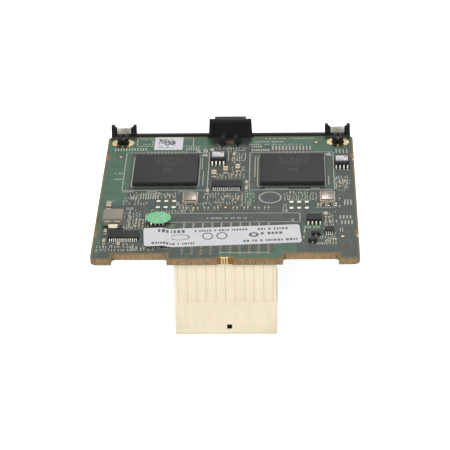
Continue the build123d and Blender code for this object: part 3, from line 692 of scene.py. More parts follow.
def board_surface(settings):
    """Solder mask over glass-epoxy: a satin film, grey-green over copper and greener off it, with faint
    tracks beneath, bare resin at the margins and woven glass in the cut edges."""
    material, tree, place = new_surface("Solder mask over glass-epoxy")
    # Green where no copper lies beneath
    green = zoned(tree, place, GREEN_ZONES, 0.1)
    mask = blend(tree, green, settings.mask, settings.green_mask)
    # Tracks under the mask, in bundles that run along the board and across it
    bundles = []
    for stretch, size in (((1, 0.06, 1), 0.5), ((0.06, 1, 1), 0.6)):
        tracks = speckle(tree, place, size, 0.0, stretch)
        bundles.append(between(tree, tracks, 0.54, 0.6))
    where = between(tree, speckle(tree, place, 7.0), 0.42, 0.55)
    either = node(tree, "ShaderNodeMix", {0: where, 2: bundles[0], 3: bundles[1]}).outputs[0]
    broad = speckle(tree, place, 3.0)
    shown = combine(tree, "MULTIPLY", either, between(tree, broad, 0.42, 0.65, 0.0, 0.24))
    tracked = blend(tree, shown, mask, colour("#6F756A"))
    tinted = shade(tree, tracked, broad, 0.9, 1.08)
    # Bare resin along the edges and round the notches
    card = box_reach(tree, place, (-BOARD_HALF, BOARD_LOW.y, 0), (BOARD_HALF, BOARD_HIGH.y, 0))
    cuts = zone_reaches(tree, place, CUT_ZONES)
    inward = combine(tree, "MULTIPLY", card, -1.0)
    rim = nearest(tree, [inward, *cuts])
    wobble = swing(tree, speckle(tree, place, 1.5), -0.12 * MM, 0.12 * MM)
    uneven = combine(tree, "ADD", rim, wobble)
    bare = between(tree, uneven, settings.margin_width, settings.margin_width - 0.15 * MM)
    ragged = swing(tree, speckle(tree, place, 0.9), -0.5 * MM, 0.5 * MM)
    scorched = combine(tree, "ADD", nearest(tree, zone_reaches(tree, place, BURNT_ZONES)), ragged)
    burn = between(tree, scorched, 0.3 * MM, -0.3 * MM)
    margin = blend(tree, burn, settings.margin, settings.burnt)
    # Pale glass fibres at the broken tabs, with a painted highlight on the notch walls that the key light
    # reaches
    fibre_and_highlight = zoned(tree, place, FIBRE_AND_HIGHLIGHT_ZONES, 0.15)
    pale_fibre_and_highlight = colour("#F2EEE2")
    margin = blend(tree, fibre_and_highlight, margin, pale_fibre_and_highlight)
    open_resin = combine(tree, "MAXIMUM", bare, burn)
    top = blend(tree, open_resin, tinted, margin)
    # Cut edges: pale glass bundles a millimetre apart in brown resin, in thin layers
    ends = vector_math(tree, "MULTIPLY", place, (1.0, 1.0, 1.25))
    glass = node(tree, "ShaderNodeTexVoronoi", {"Vector": ends, "Scale": 1 / (0.44 * MM),
                                                "Randomness": 0.45}).outputs["Distance"]
    pale = between(tree, glass, 0.15, 0.6, 1.35, 0.5)
    strands = speckle(tree, place, 0.9, 1.0, (1, 1, 0.5))
    cut = shade(tree, scaled(tree, settings.resin[:3], pale), strands, 0.88, 1.14)
    cut = blend(tree, burn, cut, settings.burnt)
    cut = blend(tree, fibre_and_highlight, cut, pale_fibre_and_highlight)
    skin = between(tree, coordinate(tree, place, 2), BOARD_TOP - 0.3 * MM, BOARD_TOP - 0.1 * MM, 0.0, 0.7)
    cut = blend(tree, skin, cut, settings.margin)
    flat = between(tree, combine(tree, "ABSOLUTE", upward(tree)), 0.4, 0.6)
    base = blend(tree, flat, cut, top)
    fine = speckle(tree, place, 0.35)
    rough = between(tree, flat, 0.0, 1.0, 0.8, 0.5)
    finish_surface(tree, base, rough, fine, 0.01, Specular_IOR_Level=0.12)
    return material


def paper_surface(name, tint):
    """Label stock: coated paper, matte, with faint fibres and a slight cockle."""
    material, tree, place = new_surface(name)
    fibres = speckle(tree, place, 0.25, 3.0, (1, 0.4, 1))
    cockle = speckle(tree, place, 6.0, 1.0)
    base = shade(tree, shade(tree, tint, fibres, 0.98, 1.02), cockle, 0.97, 1.02)
    finish_surface(tree, base, swing(tree, fibres, 0.5, 0.65), cockle, 0.05,
                   Specular_IOR_Level=0.3)
    return material


def code_surface(paper, ink):
    """The square label's paper with a field of little dark squares that stands for a printed code."""
    material, tree, place = new_surface("Label paper with a printed field")
    dark = combine(tree, "LESS_THAN", cell_noise(tree, place, (CODE_CELL * MM,) * 3), 0.52)
    inside = zoned(tree, place, CODE_ZONES, 0.02)
    share = combine(tree, "MULTIPLY", dark, inside)
    share = between(tree, share, 0.0, 1.0, 0.0, 0.95)
    fibres = speckle(tree, place, 0.25, 3.0)
    base = shade(tree, blend(tree, share, paper, ink), fibres, 0.98, 1.02)
    finish_surface(tree, base, swing(tree, fibres, 0.5, 0.65), fibres, 0.005,
                   Specular_IOR_Level=0.3)
    return material


def nylon_surface(settings):
    """Glass-filled nylon: black and finely textured, with a tone painted on its upper faces for how light
    falls on them, broken up by the pits.
    """
    material, tree, place = new_surface("Glass-filled nylon")
    pits = speckle(tree, place, 0.3)
    # Painted light: upward faces blend to their own tone, broken up by the pits
    painted_top_light = combine(tree, "MULTIPLY", between(tree, upward(tree), 0.2, 0.95),
                   between(tree, pits, 0.2, 0.6, 0.75, 1.0))
    base = blend(tree, painted_top_light, settings.nylon, settings.top_light_nylon)
    rough = swing(tree, pits, 0.5, 0.66)
    finish_surface(tree, shade(tree, base, pits, 0.9, 1.1), rough, pits, 0.02, Specular_IOR_Level=0.1)
    return material


def polymer_surface(tint):
    """Liquid crystal polymer: cream and matte, with faint flow marks down the moulding."""
    material, tree, place = new_surface("Liquid crystal polymer")
    flow = speckle(tree, place, 1.2, 3.0, (1, 1, 0.12))
    fine = speckle(tree, place, 0.2)
    base = shade(tree, shade(tree, tint, flow, 0.965, 1.02), fine, 0.98, 1.02)
    finish_surface(tree, base, swing(tree, fine, 0.5, 0.62), fine, 0.006)
    return material


def epoxy_surface(tint):
    """Moulded epoxy: dark, matte and fine-grained, with plain marks etched faintly on the controllers."""
    material, tree, place = new_surface("Epoxy moulding compound")
    fine = speckle(tree, place, 0.12)
    base = shade(tree, shade(tree, tint, fine, 0.93, 1.06), speckle(tree, place, 1.5), 0.97, 1.03)
    lines = [(across + left, across + right, along + front, along + back)
             for across, along in ETCHED_PLACES for left, right, front, back in ETCHED_LINES]
    dots = cell_noise(tree, place, [side * MM for side in ETCHED_CELL])
    inside = zoned(tree, place, lines, 0.02)
    etched = combine(tree, "MULTIPLY", between(tree, dots, 0.35, 0.65), inside)
    base = blend(tree, between(tree, etched, 0.0, 1.0, 0.0, 0.8), base, colour("#4E4842"))
    finish_surface(tree, base, swing(tree, fine, 0.44, 0.56), fine, 0.01, Specular_IOR_Level=0.06)
    return material


class DressBoard(bpy.types.Operator):
    """Finishes the bare board: mask, cut edges, tinned rings, pads and the plated key slot"""
    bl_idname = "card.dress_board"
    bl_label = "Board"

    def execute(self, context):
        settings = context.scene.card_board
        thick = settings.pad_thickness
        tin = bpy.data.materials["Reflowed tin"]
        paint_node("circuit_board", board_surface(settings))
        for name in ("press_fit_tails", "solder_balls"):
            paint_node(name, tin)
        # Warm and polished, on the springs that slide on the header's pins
        gold = plain_surface("Gold over nickel", colour("#D9A54A"), 0.3, 0.2, 0.004, Metallic=1.0)
        paint_node("contact_beams", gold)
        paint_node("ground_pads", self.pad_surface())
        # Pale and lumpy, where solder has flowed over a pad
        bright = plain_surface("Bright solder", colour("#B0ACA0"), 0.45, 0.25, 0.01, (0.85, 1.08),
                               Metallic=0.6)
        pads = [fitted(on_board(across - wide / 2, along - deep / 2),
                       on_board(across + wide / 2, along + deep / 2) + Vector((0, 0, thick)))
                for across, along, wide, deep in BARE_PADS]
        set_blocks("bare_pads", pads, bright, "tinned_metal", 0.08)
        # Dark brown and dull, tarnished round the tooling holes
        copper = plain_surface("Bare copper ring", colour("#4F3E2A"), 0.55, 0.3, 0.01, (0.8, 1.2),
                               Specular_IOR_Level=0.2)
        board_thick = BOARD_HIGH.z - BOARD_LOW.z
        discs = [on_board(across, along) for across, along, radius in DISC_PLACES]
        rings = [on_board(*place) for place in HOLE_PLACES]
        sleeves = [on_board(*place, -board_thick / MM) for place in HOLE_PLACES]
        # Painted glints: a bright disc over each hole and on the second test disc, standing for the light
        # that shows through the holes
        glint_places = [on_board(*place, GLINT_RISE) for place in HOLE_PLACES + [DISC_PLACES[1][:2]]]
        self.ring_up("hole_rings", 0.38, 32, rings, RING_RADIUS, thick, copper, "solder_mask")
        placings = [sized(place, radius * MM, radius * MM, thick)
                    for place, (across, along, radius) in zip(discs, DISC_PLACES)]
        dress(stamp(flat_ring("disc", 0.02), "test_discs", placings), copper, "solder_mask")
        self.ring_up("hole_sleeves", 0.82, 24, sleeves, SLEEVE_RADIUS, board_thick + SLEEVE_RISE * MM, tin,
                     "tinned_metal")
        self.ring_up("hole_glints", 0.02, 24, glint_places, GLINT_RADIUS, thick, bright, "tinned_metal")
        # Dull olive grey, where the tails' holes are plated
        plating = plain_surface("Plated hole ring", colour("#A39E86"), 0.45, 0.3, 0.01,
                                Specular_IOR_Level=0.3)
        tails = [((low.x + high.x) / 2, (low.y + high.y) / 2, BOARD_TOP)
                 for low, high in solid_boxes("press_fit_tails")]
        self.ring_up("tail_rings", 0.66, 12, tails, TAIL_RING_RADIUS, thick, plating, "tinned_metal")
        self.small_pads(thick)
        self.key_slot(board_thick)
        return {"FINISHED"}

    def ring_up(self, name, inner, count, places, radius, tall, finish, slot):
        """Puts a ring of one size at each place."""
        placings = [sized(place, radius * MM, radius * MM, tall) for place in places]
        dress(stamp(flat_ring(name, inner, count), name, placings), finish, slot)

    def pad_surface(self):
        """Tinned ground pad: pale and dull gold, darker brown in front of the post, which is dirty copper and
        painted shadow from the post.
        """
        material, tree, place = new_surface("Tinned ground pad")
        low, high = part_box("ground_pads")
        middle = (low.y + high.y) / 2
        scuffs = speckle(tree, place, 1.6)
        # Darker brown towards the front: dirty copper and the post's painted shadow
        edge = combine(tree, "ADD", coordinate(tree, place, 1), swing(tree, scuffs, -1.2 * MM, 1.2 * MM))
        dirt_and_painted_shadow = between(tree, edge, middle - 1.6 * MM, middle - 2.8 * MM)
        base = blend(tree, dirt_and_painted_shadow, colour("#A49673"), colour("#5A4838"))
        finish_surface(tree, shade(tree, base, scuffs, 0.85, 1.1), swing(tree, scuffs, 0.35, 0.55),
                       scuffs, 0.02, Metallic=0.75)
        return material

    def small_pads(self, thick):
        """Scatters pairs of small tinned pads over the crowded places."""
        chance = random.Random(PAD_SEED)
        size = Vector((SMALL_PAD[0] * MM, SMALL_PAD[1] * MM, thick))
        pads = []
        for left, right, front, back, count in CROWDED_ZONES:
            columns, rows = int((right - left) / PAD_STEP), max(int((back - front) / ROW_STEP), 1)
            share = 1.6 * count / max(columns * rows, 1)
            for cell in range(columns * rows):
                if chance.random() > share:
                    continue
                across = left + PAD_STEP * (cell % columns) + chance.choice(PAD_SHIFTS)
                along = front + ROW_STEP * (cell // columns) + chance.choice(ROW_SHIFTS)
                for offset in (0.0, PAIR_GAP):
                    corner = on_board(across, along + offset)
                    pads.append(fitted(corner, corner + size))
        # Grey and dull, uneven from one joint to the next
        dull = plain_surface("Dull solder", colour("#A5A296"), 0.5, 0.25, 0.01, (0.8, 1.15), Metallic=0.6)
        set_blocks("small_pads", pads, dull, "tinned_metal")

    def key_slot(self, board_thick):
        """Lines the key slot in the front edge with three plated half-round ribs."""
        ribs = [sized(on_board(across, RIB_LINE, -board_thick / MM), RIB_RADII[0] * MM, RIB_RADII[1] * MM,
                      board_thick + 0.02 * MM) for across in RIB_PLACES]
        # Pale gold that catches the light down each rib
        pale = plain_surface("Thin gold over nickel", colour("#BFA974"), 0.4, 0.3, 0.01, (0.85, 1.1),
                             Metallic=0.8)
        dress(stamp(flat_ring("rib", 0.45, 24), "key_slot_ribs", ribs), pale, "contact_gold")


class PrintBoard(bpy.types.Operator):
    """Prints the board's frames, bars, small marks and rings"""
    bl_idname = "card.print_board"
    bl_label = "Board print"

    def execute(self, context):
        settings = context.scene.card_board
        width, rise = settings.line_width / MM, settings.print_thickness / MM
        # Pale, flat and a little uneven, as screened ink is
        ink = plain_surface("Epoxy print ink", settings.ink, 0.6, 0.4, 0.004, (0.86, 1.08))
        strokes = list(PRINT_LINES)
        for left, right, front, back in PRINT_FRAMES:
            strokes += [(left, front, right, front), (left, back, right, back),
                        (left, front, left, back), (right, front, right, back)]
        places = [(left - width / 2, front - width / 2, right + width / 2, back + width / 2)
                  for left, front, right, back in strokes]
        for first, front, back, count, pitch, wide in PRINT_ROWS:
            for left in (first + index * pitch for index in range(count)):
                places.append((left, front, left + wide, back))
        chance = random.Random(PRINT_SEED)
        for first, along, reach, tall in PRINT_WORDS:
            across = first
            while across < first + reach:
                wide = chance.choice(WORD_WIDTHS)
                places.append((across, along - tall / 2, across + wide, along + tall / 2))
                across += wide + chance.choice(WORD_GAPS)
        for left, right, front, back, count in CROWDED_ZONES:
            for index in range(count // 2):
                across, along = chance.uniform(left, right), chance.uniform(front, back)
                tall = chance.choice(LONE_HEIGHTS)
                places.append((across, along, across + LONE_WIDTH, along + tall))
        for low, high in solid_boxes("press_fit_tails")[::TAILS_IN_COLUMN]:
            column = (low.x + high.x) / 2 / MM
            places.append((column - STROKE_HALF, STROKE_FRONT, column + STROKE_HALF, STROKE_BACK))
        placings = [fitted(on_board(left, front), on_board(right, back, rise))
                    for left, front, right, back in places]
        set_blocks("board_print", placings, ink, "solder_mask")
        oval = flat_ring("oval_mark", 0.88, 48)
        oval.data.transform(sized(on_board(*OVAL_PLACE), OVAL_RADII[0] * MM, OVAL_RADII[1] * MM, rise * MM))
        dress(oval, ink, "solder_mask")
        for name, place in CORNER_MARKS.items():
            self.corner_mark(name, on_board(*place, rise / 2), ink, rise)
        return {"FINISHED"}

    def corner_mark(self, name, place, ink, rise):
        """Prints the triangle beside a controller's first corner."""
        select_only()
        bpy.ops.mesh.primitive_cylinder_add(vertices=3, radius=CORNER_RADIUS * MM, depth=rise * MM,
                                            location=place, rotation=(0, 0, math.radians(CORNER_TURN)))
        made = bpy.context.object
        made.name = name
        settle(made)
        dress(made, ink, "solder_mask")


class DressConnector(bpy.types.Operator):
    """Softens the edges of the connector's housing and wafers"""
    bl_idname = "card.dress_connector"
    bl_label = "Connector"

    def execute(self, context):
        settings = context.scene.card_moulding
        polymer = polymer_surface(settings.polymer)
        soften("connector_housing", "housing_moulding", settings.polymer_edge, polymer, "cream_lcp")
        self.window()
        for name in sorted(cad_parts):
            if name.startswith("connector_wafer"):
                wafer = merged_copy(name, name.replace("connector_", "moulded_"))
                low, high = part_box(name)
                choose_all()
                share = (high.x - low.x + WAFER_SPREAD * MM) / (high.x - low.x)
                bpy.ops.transform.resize(value=(share, 1, 1), center_override=(low + high) / 2)
                leave_edit()
                round_edges(wafer, 0.5 * settings.polymer_edge)
                dress(wafer, polymer, "cream_lcp", name)
        return {"FINISHED"}

    def window(self):
        """Sets a dark plate just inside the small square window, as painted shade for the hollow of the
        housing.
        """
        middle = (NOSE_LOW.x + NOSE_HIGH.x) / 2 + WINDOW_PLACE * MM
        foot = Vector((middle - WINDOW_WIDE * MM / 2, NOSE_LOW.y + PLATE_SETBACK * MM,
                       NOSE_LOW.z + WINDOW_RISE * MM))
        # Nearly black: painted shade for the hollow of the housing, which no light reaches
        dark = plain_surface("Painted shade behind the window", colour("#15120F"), 0.8, 0.3, 0.01,
                             Specular_IOR_Level=0.1)
        plate = block("window_shade", foot,
                      foot + Vector((WINDOW_WIDE, PLATE_THICK, WINDOW_TALL)) * MM)
        choose_faces(plate, lambda centre, normal: normal.y < -0.9)
        bpy.ops.mesh.inset(thickness=PLATE_INSET * MM, depth=-PLATE_SINK * MM)
        leave_edit()
        dress(plate, dark, "cream_lcp")


class DressBracket(bpy.types.Operator):
    """Softens the bracket's moulded edges and finishes the grounding clips"""
    bl_idname = "card.dress_bracket"
    bl_label = "Bracket"

    def execute(self, context):
        settings = context.scene.card_moulding
        soften("retainer_bracket", "bracket_moulding", settings.nylon_edge, nylon_surface(settings),
               "black_nylon")
        # Bright strip, brushed along its length
        steel = plain_surface("Bright spring steel", settings.steel, 0.42, 0.4, 0.006, (0.86, 1.08),
                              (0.05, 1, 1), Metallic=0.6)
        for side in ("left", "right"):
            soften(f"grounding_clip_{side}", f"clip_{side}", CLIP_EDGE * MM, steel, "spring_steel")
        return {"FINISHED"}


class DressChips(bpy.types.Operator):
    """Moulds the chip bodies with soft edges and a first-pin dimple, and pads their leads"""
    bl_idname = "card.dress_chips"
    bl_label = "Chips"

    def execute(self, context):
        settings = context.scene.card_chips
        tin = bpy.data.materials["Reflowed tin"]
        epoxy = epoxy_surface(settings.epoxy)
        feet = []
        for name in sorted(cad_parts):
            if name.endswith("_chip") or "_chip_" in name and not name.endswith("_leads"):
                dress(self.body(name, settings.chip_edge), epoxy, "black_epoxy", name)
            if name.endswith("_leads"):
                paint_node(name, tin)
                low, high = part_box(name)
                for foot_low, foot_high in solid_boxes(name):
                    feet.append((foot_low, foot_high, foot_low.y + foot_high.y > low.y + high.y))
        soften("transistors", "transistor_bodies", settings.chip_edge, epoxy, "black_epoxy")
        placings = []
        for low, high, behind in feet:
            near = high.y + (TOE_REACH - FOOT_LENGTH) * MM if behind else low.y - TOE_REACH * MM
            placings.append(fitted((low.x - FOOT_MARGIN * MM, near, BOARD_TOP),
                                   (high.x + FOOT_MARGIN * MM, near + FOOT_LENGTH * MM,
                                    BOARD_TOP + FOOT_RISE * MM)))
        set_blocks("lead_fillets", placings, tin, "tinned_metal", 0.1)
        return {"FINISHED"}

    def body(self, name, edge):
        """Copies a chip's body, rounds its edges and sinks the first-pin dimple."""
        made = merged_copy(name, f"{name}_body")
        low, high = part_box(name)
        radius, inset = LARGE_DIMPLE if high.x - low.x > LARGE_CHIP * MM else SMALL_DIMPLE
        round_edges(made, edge)
        select_only()
        bpy.ops.mesh.primitive_cylinder_add(vertices=24, radius=radius * MM, depth=DIMPLE_DEPTH * MM,
                                            location=(high.x - inset * MM, high.y - inset * MM, high.z))
        cutter = bpy.context.object
        cut = made.modifiers.new("dimple", "BOOLEAN")
        cut.object = cutter
        cut.operation = "DIFFERENCE"
        cut.solver = "EXACT"
        select_only(made)
        bpy.ops.object.modifier_apply(modifier=cut.name)
        bpy.data.objects.remove(cutter)
        return made


class DressSmallParts(bpy.types.Operator):
    """Caps and solders the chip capacitors and resistors, and finishes the oscillators and the inductor"""
    bl_idname = "card.dress_small_parts"
    bl_label = "Small parts"

    def execute(self, context):
        settings = context.scene.card_chips
        tin = bpy.data.materials["Reflowed tin"]
        # Tan and smooth between the capacitors' ends
        ceramic = plain_surface("Capacitor ceramic", settings.capacitor, 0.45, 0.2, 0.006, (0.85, 1.12))
        # Dark and glassy over the resistors
        glaze = plain_surface("Resistor glaze", settings.resistor, 0.35, 0.15, 0.004, (0.85, 1.12))
        # Soft grey gleam at the chips' ends
        caps = plain_surface("Tinned chip ends", colour("#999280"), 0.42, 0.25, 0.01, (0.8, 1.12),
                             Metallic=0.6)
        for name, body in (("large_capacitors", ceramic), ("medium_capacitors", ceramic),
                           ("row_capacitors", ceramic), ("small_resistors", glaze)):
            paint_node(name, body)
            self.ends(name, caps)
        # Pale and matte round the oscillators' lids
        base = plain_surface("Alumina ceramic", settings.ceramic, 0.5, 0.2, 0.006)
        # Cloudy bright metal with stains
        lid = plain_surface("Nickel-plated lid", settings.lid, 0.36, 0.7, 0.02, (0.72, 1.3), Metallic=0.75)
        for name, finish, slot in (("oscillator_bases", base, "ceramic"),
                                   ("oscillator_lids", lid, "nickel_lid")):
            soften(name, f"{name}_soft", OSCILLATOR_EDGE * MM, finish, slot)
        self.corners(tin)
        # Grey-brown and grainy
        powder = plain_surface("Pressed iron powder", settings.powder, 0.6, 0.18, 0.02, (0.9, 1.1))
        soften("power_inductor", "inductor_body", INDUCTOR_EDGE * MM, powder, "iron_powder", 3)
        paint_node("inductor_terminals", tin)
        self.inductor_front()
        return {"FINISHED"}

    def inductor_front(self):
        """Adds the two bars of the winding's ends and the swept terminal on the inductor's front."""
        low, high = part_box("power_inductor")
        wide, tall = high.x - low.x, high.z - low.z
        deep = FRONT_OVERLAP * MM
        bars = [fitted((low.x + first * wide, low.y - BAR_REACH * MM, low.z + BAR_LOW * tall),
                       (low.x + last * wide, low.y + deep, low.z + BAR_HIGH * tall))
                for first, last in BAR_SIDES]
        # Warm white solder, smooth over the wire's ends
        solder = plain_surface("Solder over the winding", colour("#D9D3BE"), 0.45, 0.3, 0.01, (0.85, 1.1),
                               Metallic=0.3)
        set_blocks("inductor_bars", bars, solder, "tinned_metal", 0.08)
        left, right = (low.x + share * wide for share in TERMINAL_SIDES)
        foot = block("inductor_foot", (left, low.y - TERMINAL_REACH * MM, BOARD_TOP),
                     (right, low.y + deep, low.z + TERMINAL_TOP * tall))
        choose_faces(foot, lambda centre, normal: normal.y < -0.9)
        sweep = (0, -TERMINAL_SWEEP * MM, -TERMINAL_DROP * tall)
        bpy.ops.mesh.extrude_region_move(TRANSFORM_OT_translate={"value": sweep})
        bpy.ops.transform.resize(value=TERMINAL_TAPER,
                                 center_override=((low.x + high.x) / 2, low.y, BOARD_TOP))
        leave_edit()
        dress(foot, solder, "tinned_metal")

    def ends(self, name, tin):
        """Wraps each chip's two ends in tin, with a solder fillet at the foot."""
        grow = CAP_GROWTH * MM
        caps, fillets = [], []
        for low, high in solid_boxes(name):
            wrap = (high.y - low.y) * CAP_SHARE
            reach = min(FILLET_REACH * MM, wrap)
            rise = (high.z - low.z) * FILLET_SHARE
            for outer, inward in ((low.y, 1), (high.y, -1)):
                inner = outer + inward * wrap
                edge = outer - inward * grow
                near, far = sorted((inner, edge))
                caps.append(fitted((low.x - grow, near, low.z), (high.x + grow, far, high.z + grow)))
                turn = Matrix.Rotation(0 if inward > 0 else math.pi, 4, "Z")
                size = Matrix.Diagonal((high.x - low.x, reach, rise, 1.0))
                centre = Vector(((low.x + high.x) / 2, edge, BOARD_TOP))
                fillets.append(Matrix.Translation(centre) @ turn @ size)
        set_blocks(f"{name}_ends", caps, tin, "tinned_metal", 0.06)
        dress(stamp(self.fillet(), f"{name}_solder", fillets), tin, "tinned_metal")

    def fillet(self):
        """Models a unit solder fillet whose face sweeps from its top back edge to its front foot."""
        made = block("fillet", (-0.5, -1.0, 0.0), (0.5, 0.0, 1.0))
        choose_edges(made, lambda first, second: (first + second).y < -1.8 and (first + second).z > 1.8)
        bpy.ops.mesh.bevel(offset=0.85, segments=3, profile=0.35, affect="EDGES")
        leave_edit()
        return made

    def corners(self, tin):
        """Sets a tinned pad under each corner of the oscillators."""
        placings = []
        for low, high in solid_boxes("oscillator_bases"):
            for across in (low.x + CORNER_INSET * MM, high.x - CORNER_INSET * MM):
                for along in (low.y - CORNER_PAST * MM, high.y + CORNER_PAST * MM):
                    foot = Vector((across, along, BOARD_TOP))
                    half = Vector((*CORNER_HALF, 0)) * MM
                    placings.append(fitted(foot - half, foot + half + Vector((0, 0, CORNER_RISE * MM))))
        set_blocks("oscillator_pads", placings, tin, "tinned_metal", 0.12)


class DressPapers(bpy.types.Operator):
    """Finishes the labels, their plain printed bars and the round sticker"""
    bl_idname = "card.dress_papers"
    bl_label = "Papers"

    def execute(self, context):
        settings = context.scene.card_papers
        paper = paper_surface("Label paper", settings.paper)
        green = self.sticker_surface(settings.green)
        label = merged_copy("paper_label", "label_sheet")
        self.soften_ramp(label)
        dress(label, paper, "white_paper", "paper_label")
        paint_node("chip_tags", paper)
        paint_node("round_sticker", green)
        paint_node("code_label", code_surface(settings.paper, settings.print))
        # Flat near-black of a label printer
        ink = plain_surface("Label ink", settings.print, 0.6, 0.2, 0.002, (0.85, 1.1))
        # A faded red dab
        red = plain_surface("Red marker ink", settings.red, 0.5, 0.2, 0.002)
        self.label_print(ink)
        far, near = Vector((*DOT_FAR, 0)) * MM, Vector((*DOT_NEAR, -DOT_RISE)) * MM
        dots = [fitted(high - far, high - near) for low, high in solid_boxes("chip_tags")]
        set_blocks("tag_dots", dots, red, "white_paper", 0.3)
        marks = []
        size = Vector((*TAG_MARK, INK_RISE)) * MM
        for low, high in solid_boxes("chip_tags"):
            for row, count in TAG_ROWS:
                for index in range(count):
                    corner = Vector((low.x + (TAG_INSET + TAG_STEP * index) * MM, low.y + row * MM, high.z))
                    marks.append(fitted(corner, corner + size))
        set_blocks("tag_marks", marks, ink, "white_paper")
        return {"FINISHED"}

    def sticker_surface(self, tint):
        """The green sticker: glossy paper with pale streaks."""
        material, tree, place = new_surface("Green sticker paper")
        rubs = speckle(tree, place, 1.3, 3.0, (1, 0.5, 1))
        fine = speckle(tree, place, 0.4)
        # Pale streaks where both noises run high
        pale_streaks = combine(tree, "MULTIPLY", between(tree, rubs, 0.5, 0.62), between(tree, fine, 0.4, 0.6))
        base = blend(tree, between(tree, pale_streaks, 0.0, 1.0, 0.0, 0.55), tint, colour("#BFE6C4"))
        finish_surface(tree, base, swing(tree, rubs, 0.4, 0.6), fine, 0.01)
        return material

    def soften_ramp(self, label):
        """Rounds the label's two creases where it comes down from the chip, and its four corners."""
        low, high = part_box("paper_label")
        middle = (low + high) / 2
        turn = math.radians(LABEL_TURN)
        ahead = Vector((math.cos(turn), math.sin(turn), 0))
        half = LABEL_REACH / 2
        creases = [(RAISED_REACH - half) * MM, (RAISED_REACH + RAMP_REACH - half) * MM]

        def at_crease(first, second):
            reach = ((first + second) / 2 - middle).dot(ahead)
            level = abs(first.z - second.z) < 0.01 * MM and (first - second).length > 5 * MM
            return level and min(abs(reach - crease) for crease in creases) < 0.4 * MM

        def at_corner(first, second):
            upright = (first - second).xy.length < 0.01 * MM
            return upright and abs((first - middle).dot(ahead)) > (half - 0.5) * MM

        choose_edges(label, at_crease)
        bpy.ops.mesh.bevel(offset=CREASE_RADIUS * MM, segments=5, affect="EDGES")
        choose_edges(label, at_corner)
        bpy.ops.mesh.bevel(offset=CORNER_ROUND * MM, segments=5, affect="EDGES")
        leave_edit()
        bpy.ops.object.shade_smooth_by_angle(angle=math.radians(SHADE_ANGLE))

    def label_print(self, ink):
        """Prints lines of plain bars and the empty rings on the main label."""
        low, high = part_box("paper_label")
        middle = (low + high) / 2
        turn = Matrix.Rotation(math.radians(LABEL_TURN), 4, "Z")
        chance = random.Random(LABEL_SEED)
        places = []
        for first, up, tall, reach in LABEL_LINES:
            across = first
            while across < first + reach:
                wide = tall * chance.choice(BAR_WIDTHS)
                places.append((across, up - tall / 2, across + wide, up + tall / 2))
                across += wide + tall * chance.choice(BAR_GAPS)
        ramp = RAISED_REACH + RAMP_REACH - LABEL_REACH / 2
        rest = BOARD_TOP + PAPER_RISE * MM
        placings = []
        for left, down, right, up in places:
            climbed = min(max((ramp - left) / RAMP_REACH, 0), 1)
            origin = Matrix.Translation((middle.x, middle.y, rest + (high.z - rest) * climbed)) @ turn
            placings.append(origin @ fitted((left * MM, down * MM, 0), (right * MM, up * MM, INK_RISE * MM)))
        set_blocks("label_print", placings, ink, "white_paper")
        flat = Matrix.Translation((middle.x, middle.y, rest)) @ turn
        for name, inner, places in LABEL_RINGS:
            rings = [flat @ sized((across * MM, up * MM, 0), wide * MM, deep * MM, INK_RISE * MM)
                     for across, up, wide, deep in places]
            dress(stamp(flat_ring("emblem", inner), name, rings), ink, "white_paper")


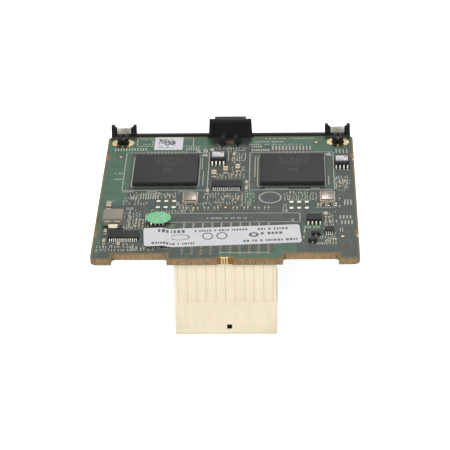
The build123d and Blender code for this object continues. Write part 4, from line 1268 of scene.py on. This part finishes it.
class SetStage(bpy.types.Operator):
    """Sets the floor, the lamps, the world and the camera"""
    bl_idname = "card.set_stage"
    bl_label = "Stage"

    def execute(self, context):
        settings = context.scene.card_stage
        scene = context.scene
        scene.view_settings.view_transform = "Standard"
        self.floor()
        self.world(scene, settings.ambient)
        middle = Vector((0, (BOARD_LOW.y + BOARD_HIGH.y) / 2, BOARD_TOP))
        for name, (place, side, power) in LAMPS.items():
            self.lamp(name, middle + Vector(place), middle, side, power * settings.key_power)
        self.camera(scene, settings.lens)
        return {"FINISHED"}

    def floor(self):
        """Lays a white floor under the connector that keeps a soft shadow."""
        select_only()
        bpy.ops.mesh.primitive_plane_add(size=FLOOR_SIDE, location=(0, 0, NOSE_LOW.z))
        floor = bpy.context.object
        floor.name = "floor"
        choose_all()
        bpy.ops.mesh.subdivide(number_cuts=3)
        leave_edit()
        settle(floor)
        material, tree, place = new_surface("White studio floor")
        tone = shade(tree, colour("#F4F4F4"), speckle(tree, place, 40.0), 0.99, 1.01)
        matte = node(tree, "ShaderNodeBsdfDiffuse", {"Color": tone})
        lift = combine(tree, "MULTIPLY", seen_straight(tree), FLOOR_LIFT)
        glow = node(tree, "ShaderNodeEmission", {"Color": (1, 1, 1, 1), "Strength": lift})
        both = node(tree, "ShaderNodeAddShader", {0: matte.outputs[0], 1: glow.outputs[0]})
        node(tree, "ShaderNodeOutputMaterial", {"Surface": both.outputs[0]})
        floor.data.materials.append(material)

    def world(self, scene, ambient):
        """Lights the card evenly from all round, and shows white to the camera and in reflections."""
        world = bpy.data.worlds.new("Studio")
        scene.world = world
        world.use_nodes = True
        tree = world.node_tree
        tree.nodes.clear()
        strength = between(tree, seen_straight(tree), 0.0, 1.0, ambient, 1.0)
        sky = node(tree, "ShaderNodeBackground", {"Color": (1, 1, 1, 1), "Strength": strength})
        node(tree, "ShaderNodeOutputWorld", {"Surface": sky.outputs[0]})

    def lamp(self, name, place, aim, size, power):
        """Adds a square soft light that looks at a point."""
        select_only()
        bpy.ops.object.light_add(type="AREA", location=place)
        lamp = bpy.context.object
        lamp.name = name
        lamp.data.size = size
        lamp.data.energy = power
        lamp.rotation_euler = (aim - place).to_track_quat("-Z", "Y").to_euler()

    def camera(self, scene, lens):
        """Sets the camera that the photograph's corners give."""
        yaw, dip, roll = (math.radians(turn) for turn in (CAMERA_YAW, CAMERA_DIP, CAMERA_ROLL))
        ahead = Vector((math.sin(yaw) * math.cos(dip), math.cos(yaw) * math.cos(dip), -math.sin(dip)))
        right = Vector((math.cos(yaw), -math.sin(yaw), 0))
        up = right.cross(ahead)
        rolled_right = math.cos(roll) * right + math.sin(roll) * up
        rolled_up = math.cos(roll) * up - math.sin(roll) * right
        select_only()
        bpy.ops.object.camera_add()
        camera = bpy.context.object
        camera.name = "camera"
        camera.data.sensor_width = 36.0
        camera.data.sensor_fit = "HORIZONTAL"
        camera.data.lens = lens
        camera.data.clip_end = 20.0
        turn = Matrix((rolled_right, rolled_up, -ahead)).transposed()
        place = on_board(*CAMERA_AIM) - ahead * CAMERA_DISTANCE * MM
        camera.matrix_world = Matrix.Translation(place) @ turn.to_4x4()
        scene.camera = camera


class CardPanel(bpy.types.Panel):
    """Lists the steps that dress the card"""
    bl_idname = "CARD_PT_steps"
    bl_label = "Network card"
    bl_space_type = "VIEW_3D"
    bl_region_type = "UI"
    bl_category = "Network card"

    def draw(self, context):
        for step in STEPS:
            self.layout.operator(step.bl_idname)
        for group in SETTINGS:
            settings = getattr(context.scene, group)
            for name in settings.__annotations__:
                self.layout.prop(settings, name)


SETTINGS = {
    "card_board": BoardSettings,
    "card_moulding": MouldingSettings,
    "card_chips": ChipSettings,
    "card_papers": PaperSettings,
    "card_stage": StageSettings,
}
STEPS = (DressBoard, PrintBoard, DressConnector, DressBracket, DressChips, DressSmallParts, DressPapers,
         SetStage)


def register():
    """Registers the settings, the steps and the panel."""
    for name, group in SETTINGS.items():
        bpy.utils.register_class(group)
        setattr(bpy.types.Scene, name, PointerProperty(type=group))
    for step in STEPS:
        bpy.utils.register_class(step)
    bpy.utils.register_class(CardPanel)


def unregister():
    """Takes them all away again."""
    bpy.utils.unregister_class(CardPanel)
    for step in reversed(STEPS):
        bpy.utils.unregister_class(step)
    for name, group in reversed(SETTINGS.items()):
        delattr(bpy.types.Scene, name)
        bpy.utils.unregister_class(group)


def main():
    """Dresses the card step by step."""
    register()
    # Silvery and slightly rough, on the leads, the balls and the solder
    plain_surface("Reflowed tin", bpy.context.scene.card_board.tin, 0.3, 0.25, 0.01, (0.85, 1.1),
                  Metallic=0.9)
    bpy.ops.card.dress_board()
    bpy.ops.card.print_board()
    bpy.ops.card.dress_connector()
    bpy.ops.card.dress_bracket()
    bpy.ops.card.dress_chips()
    bpy.ops.card.dress_small_parts()
    bpy.ops.card.dress_papers()
    bpy.ops.card.set_stage()


if __name__ == "__main__":
    main()
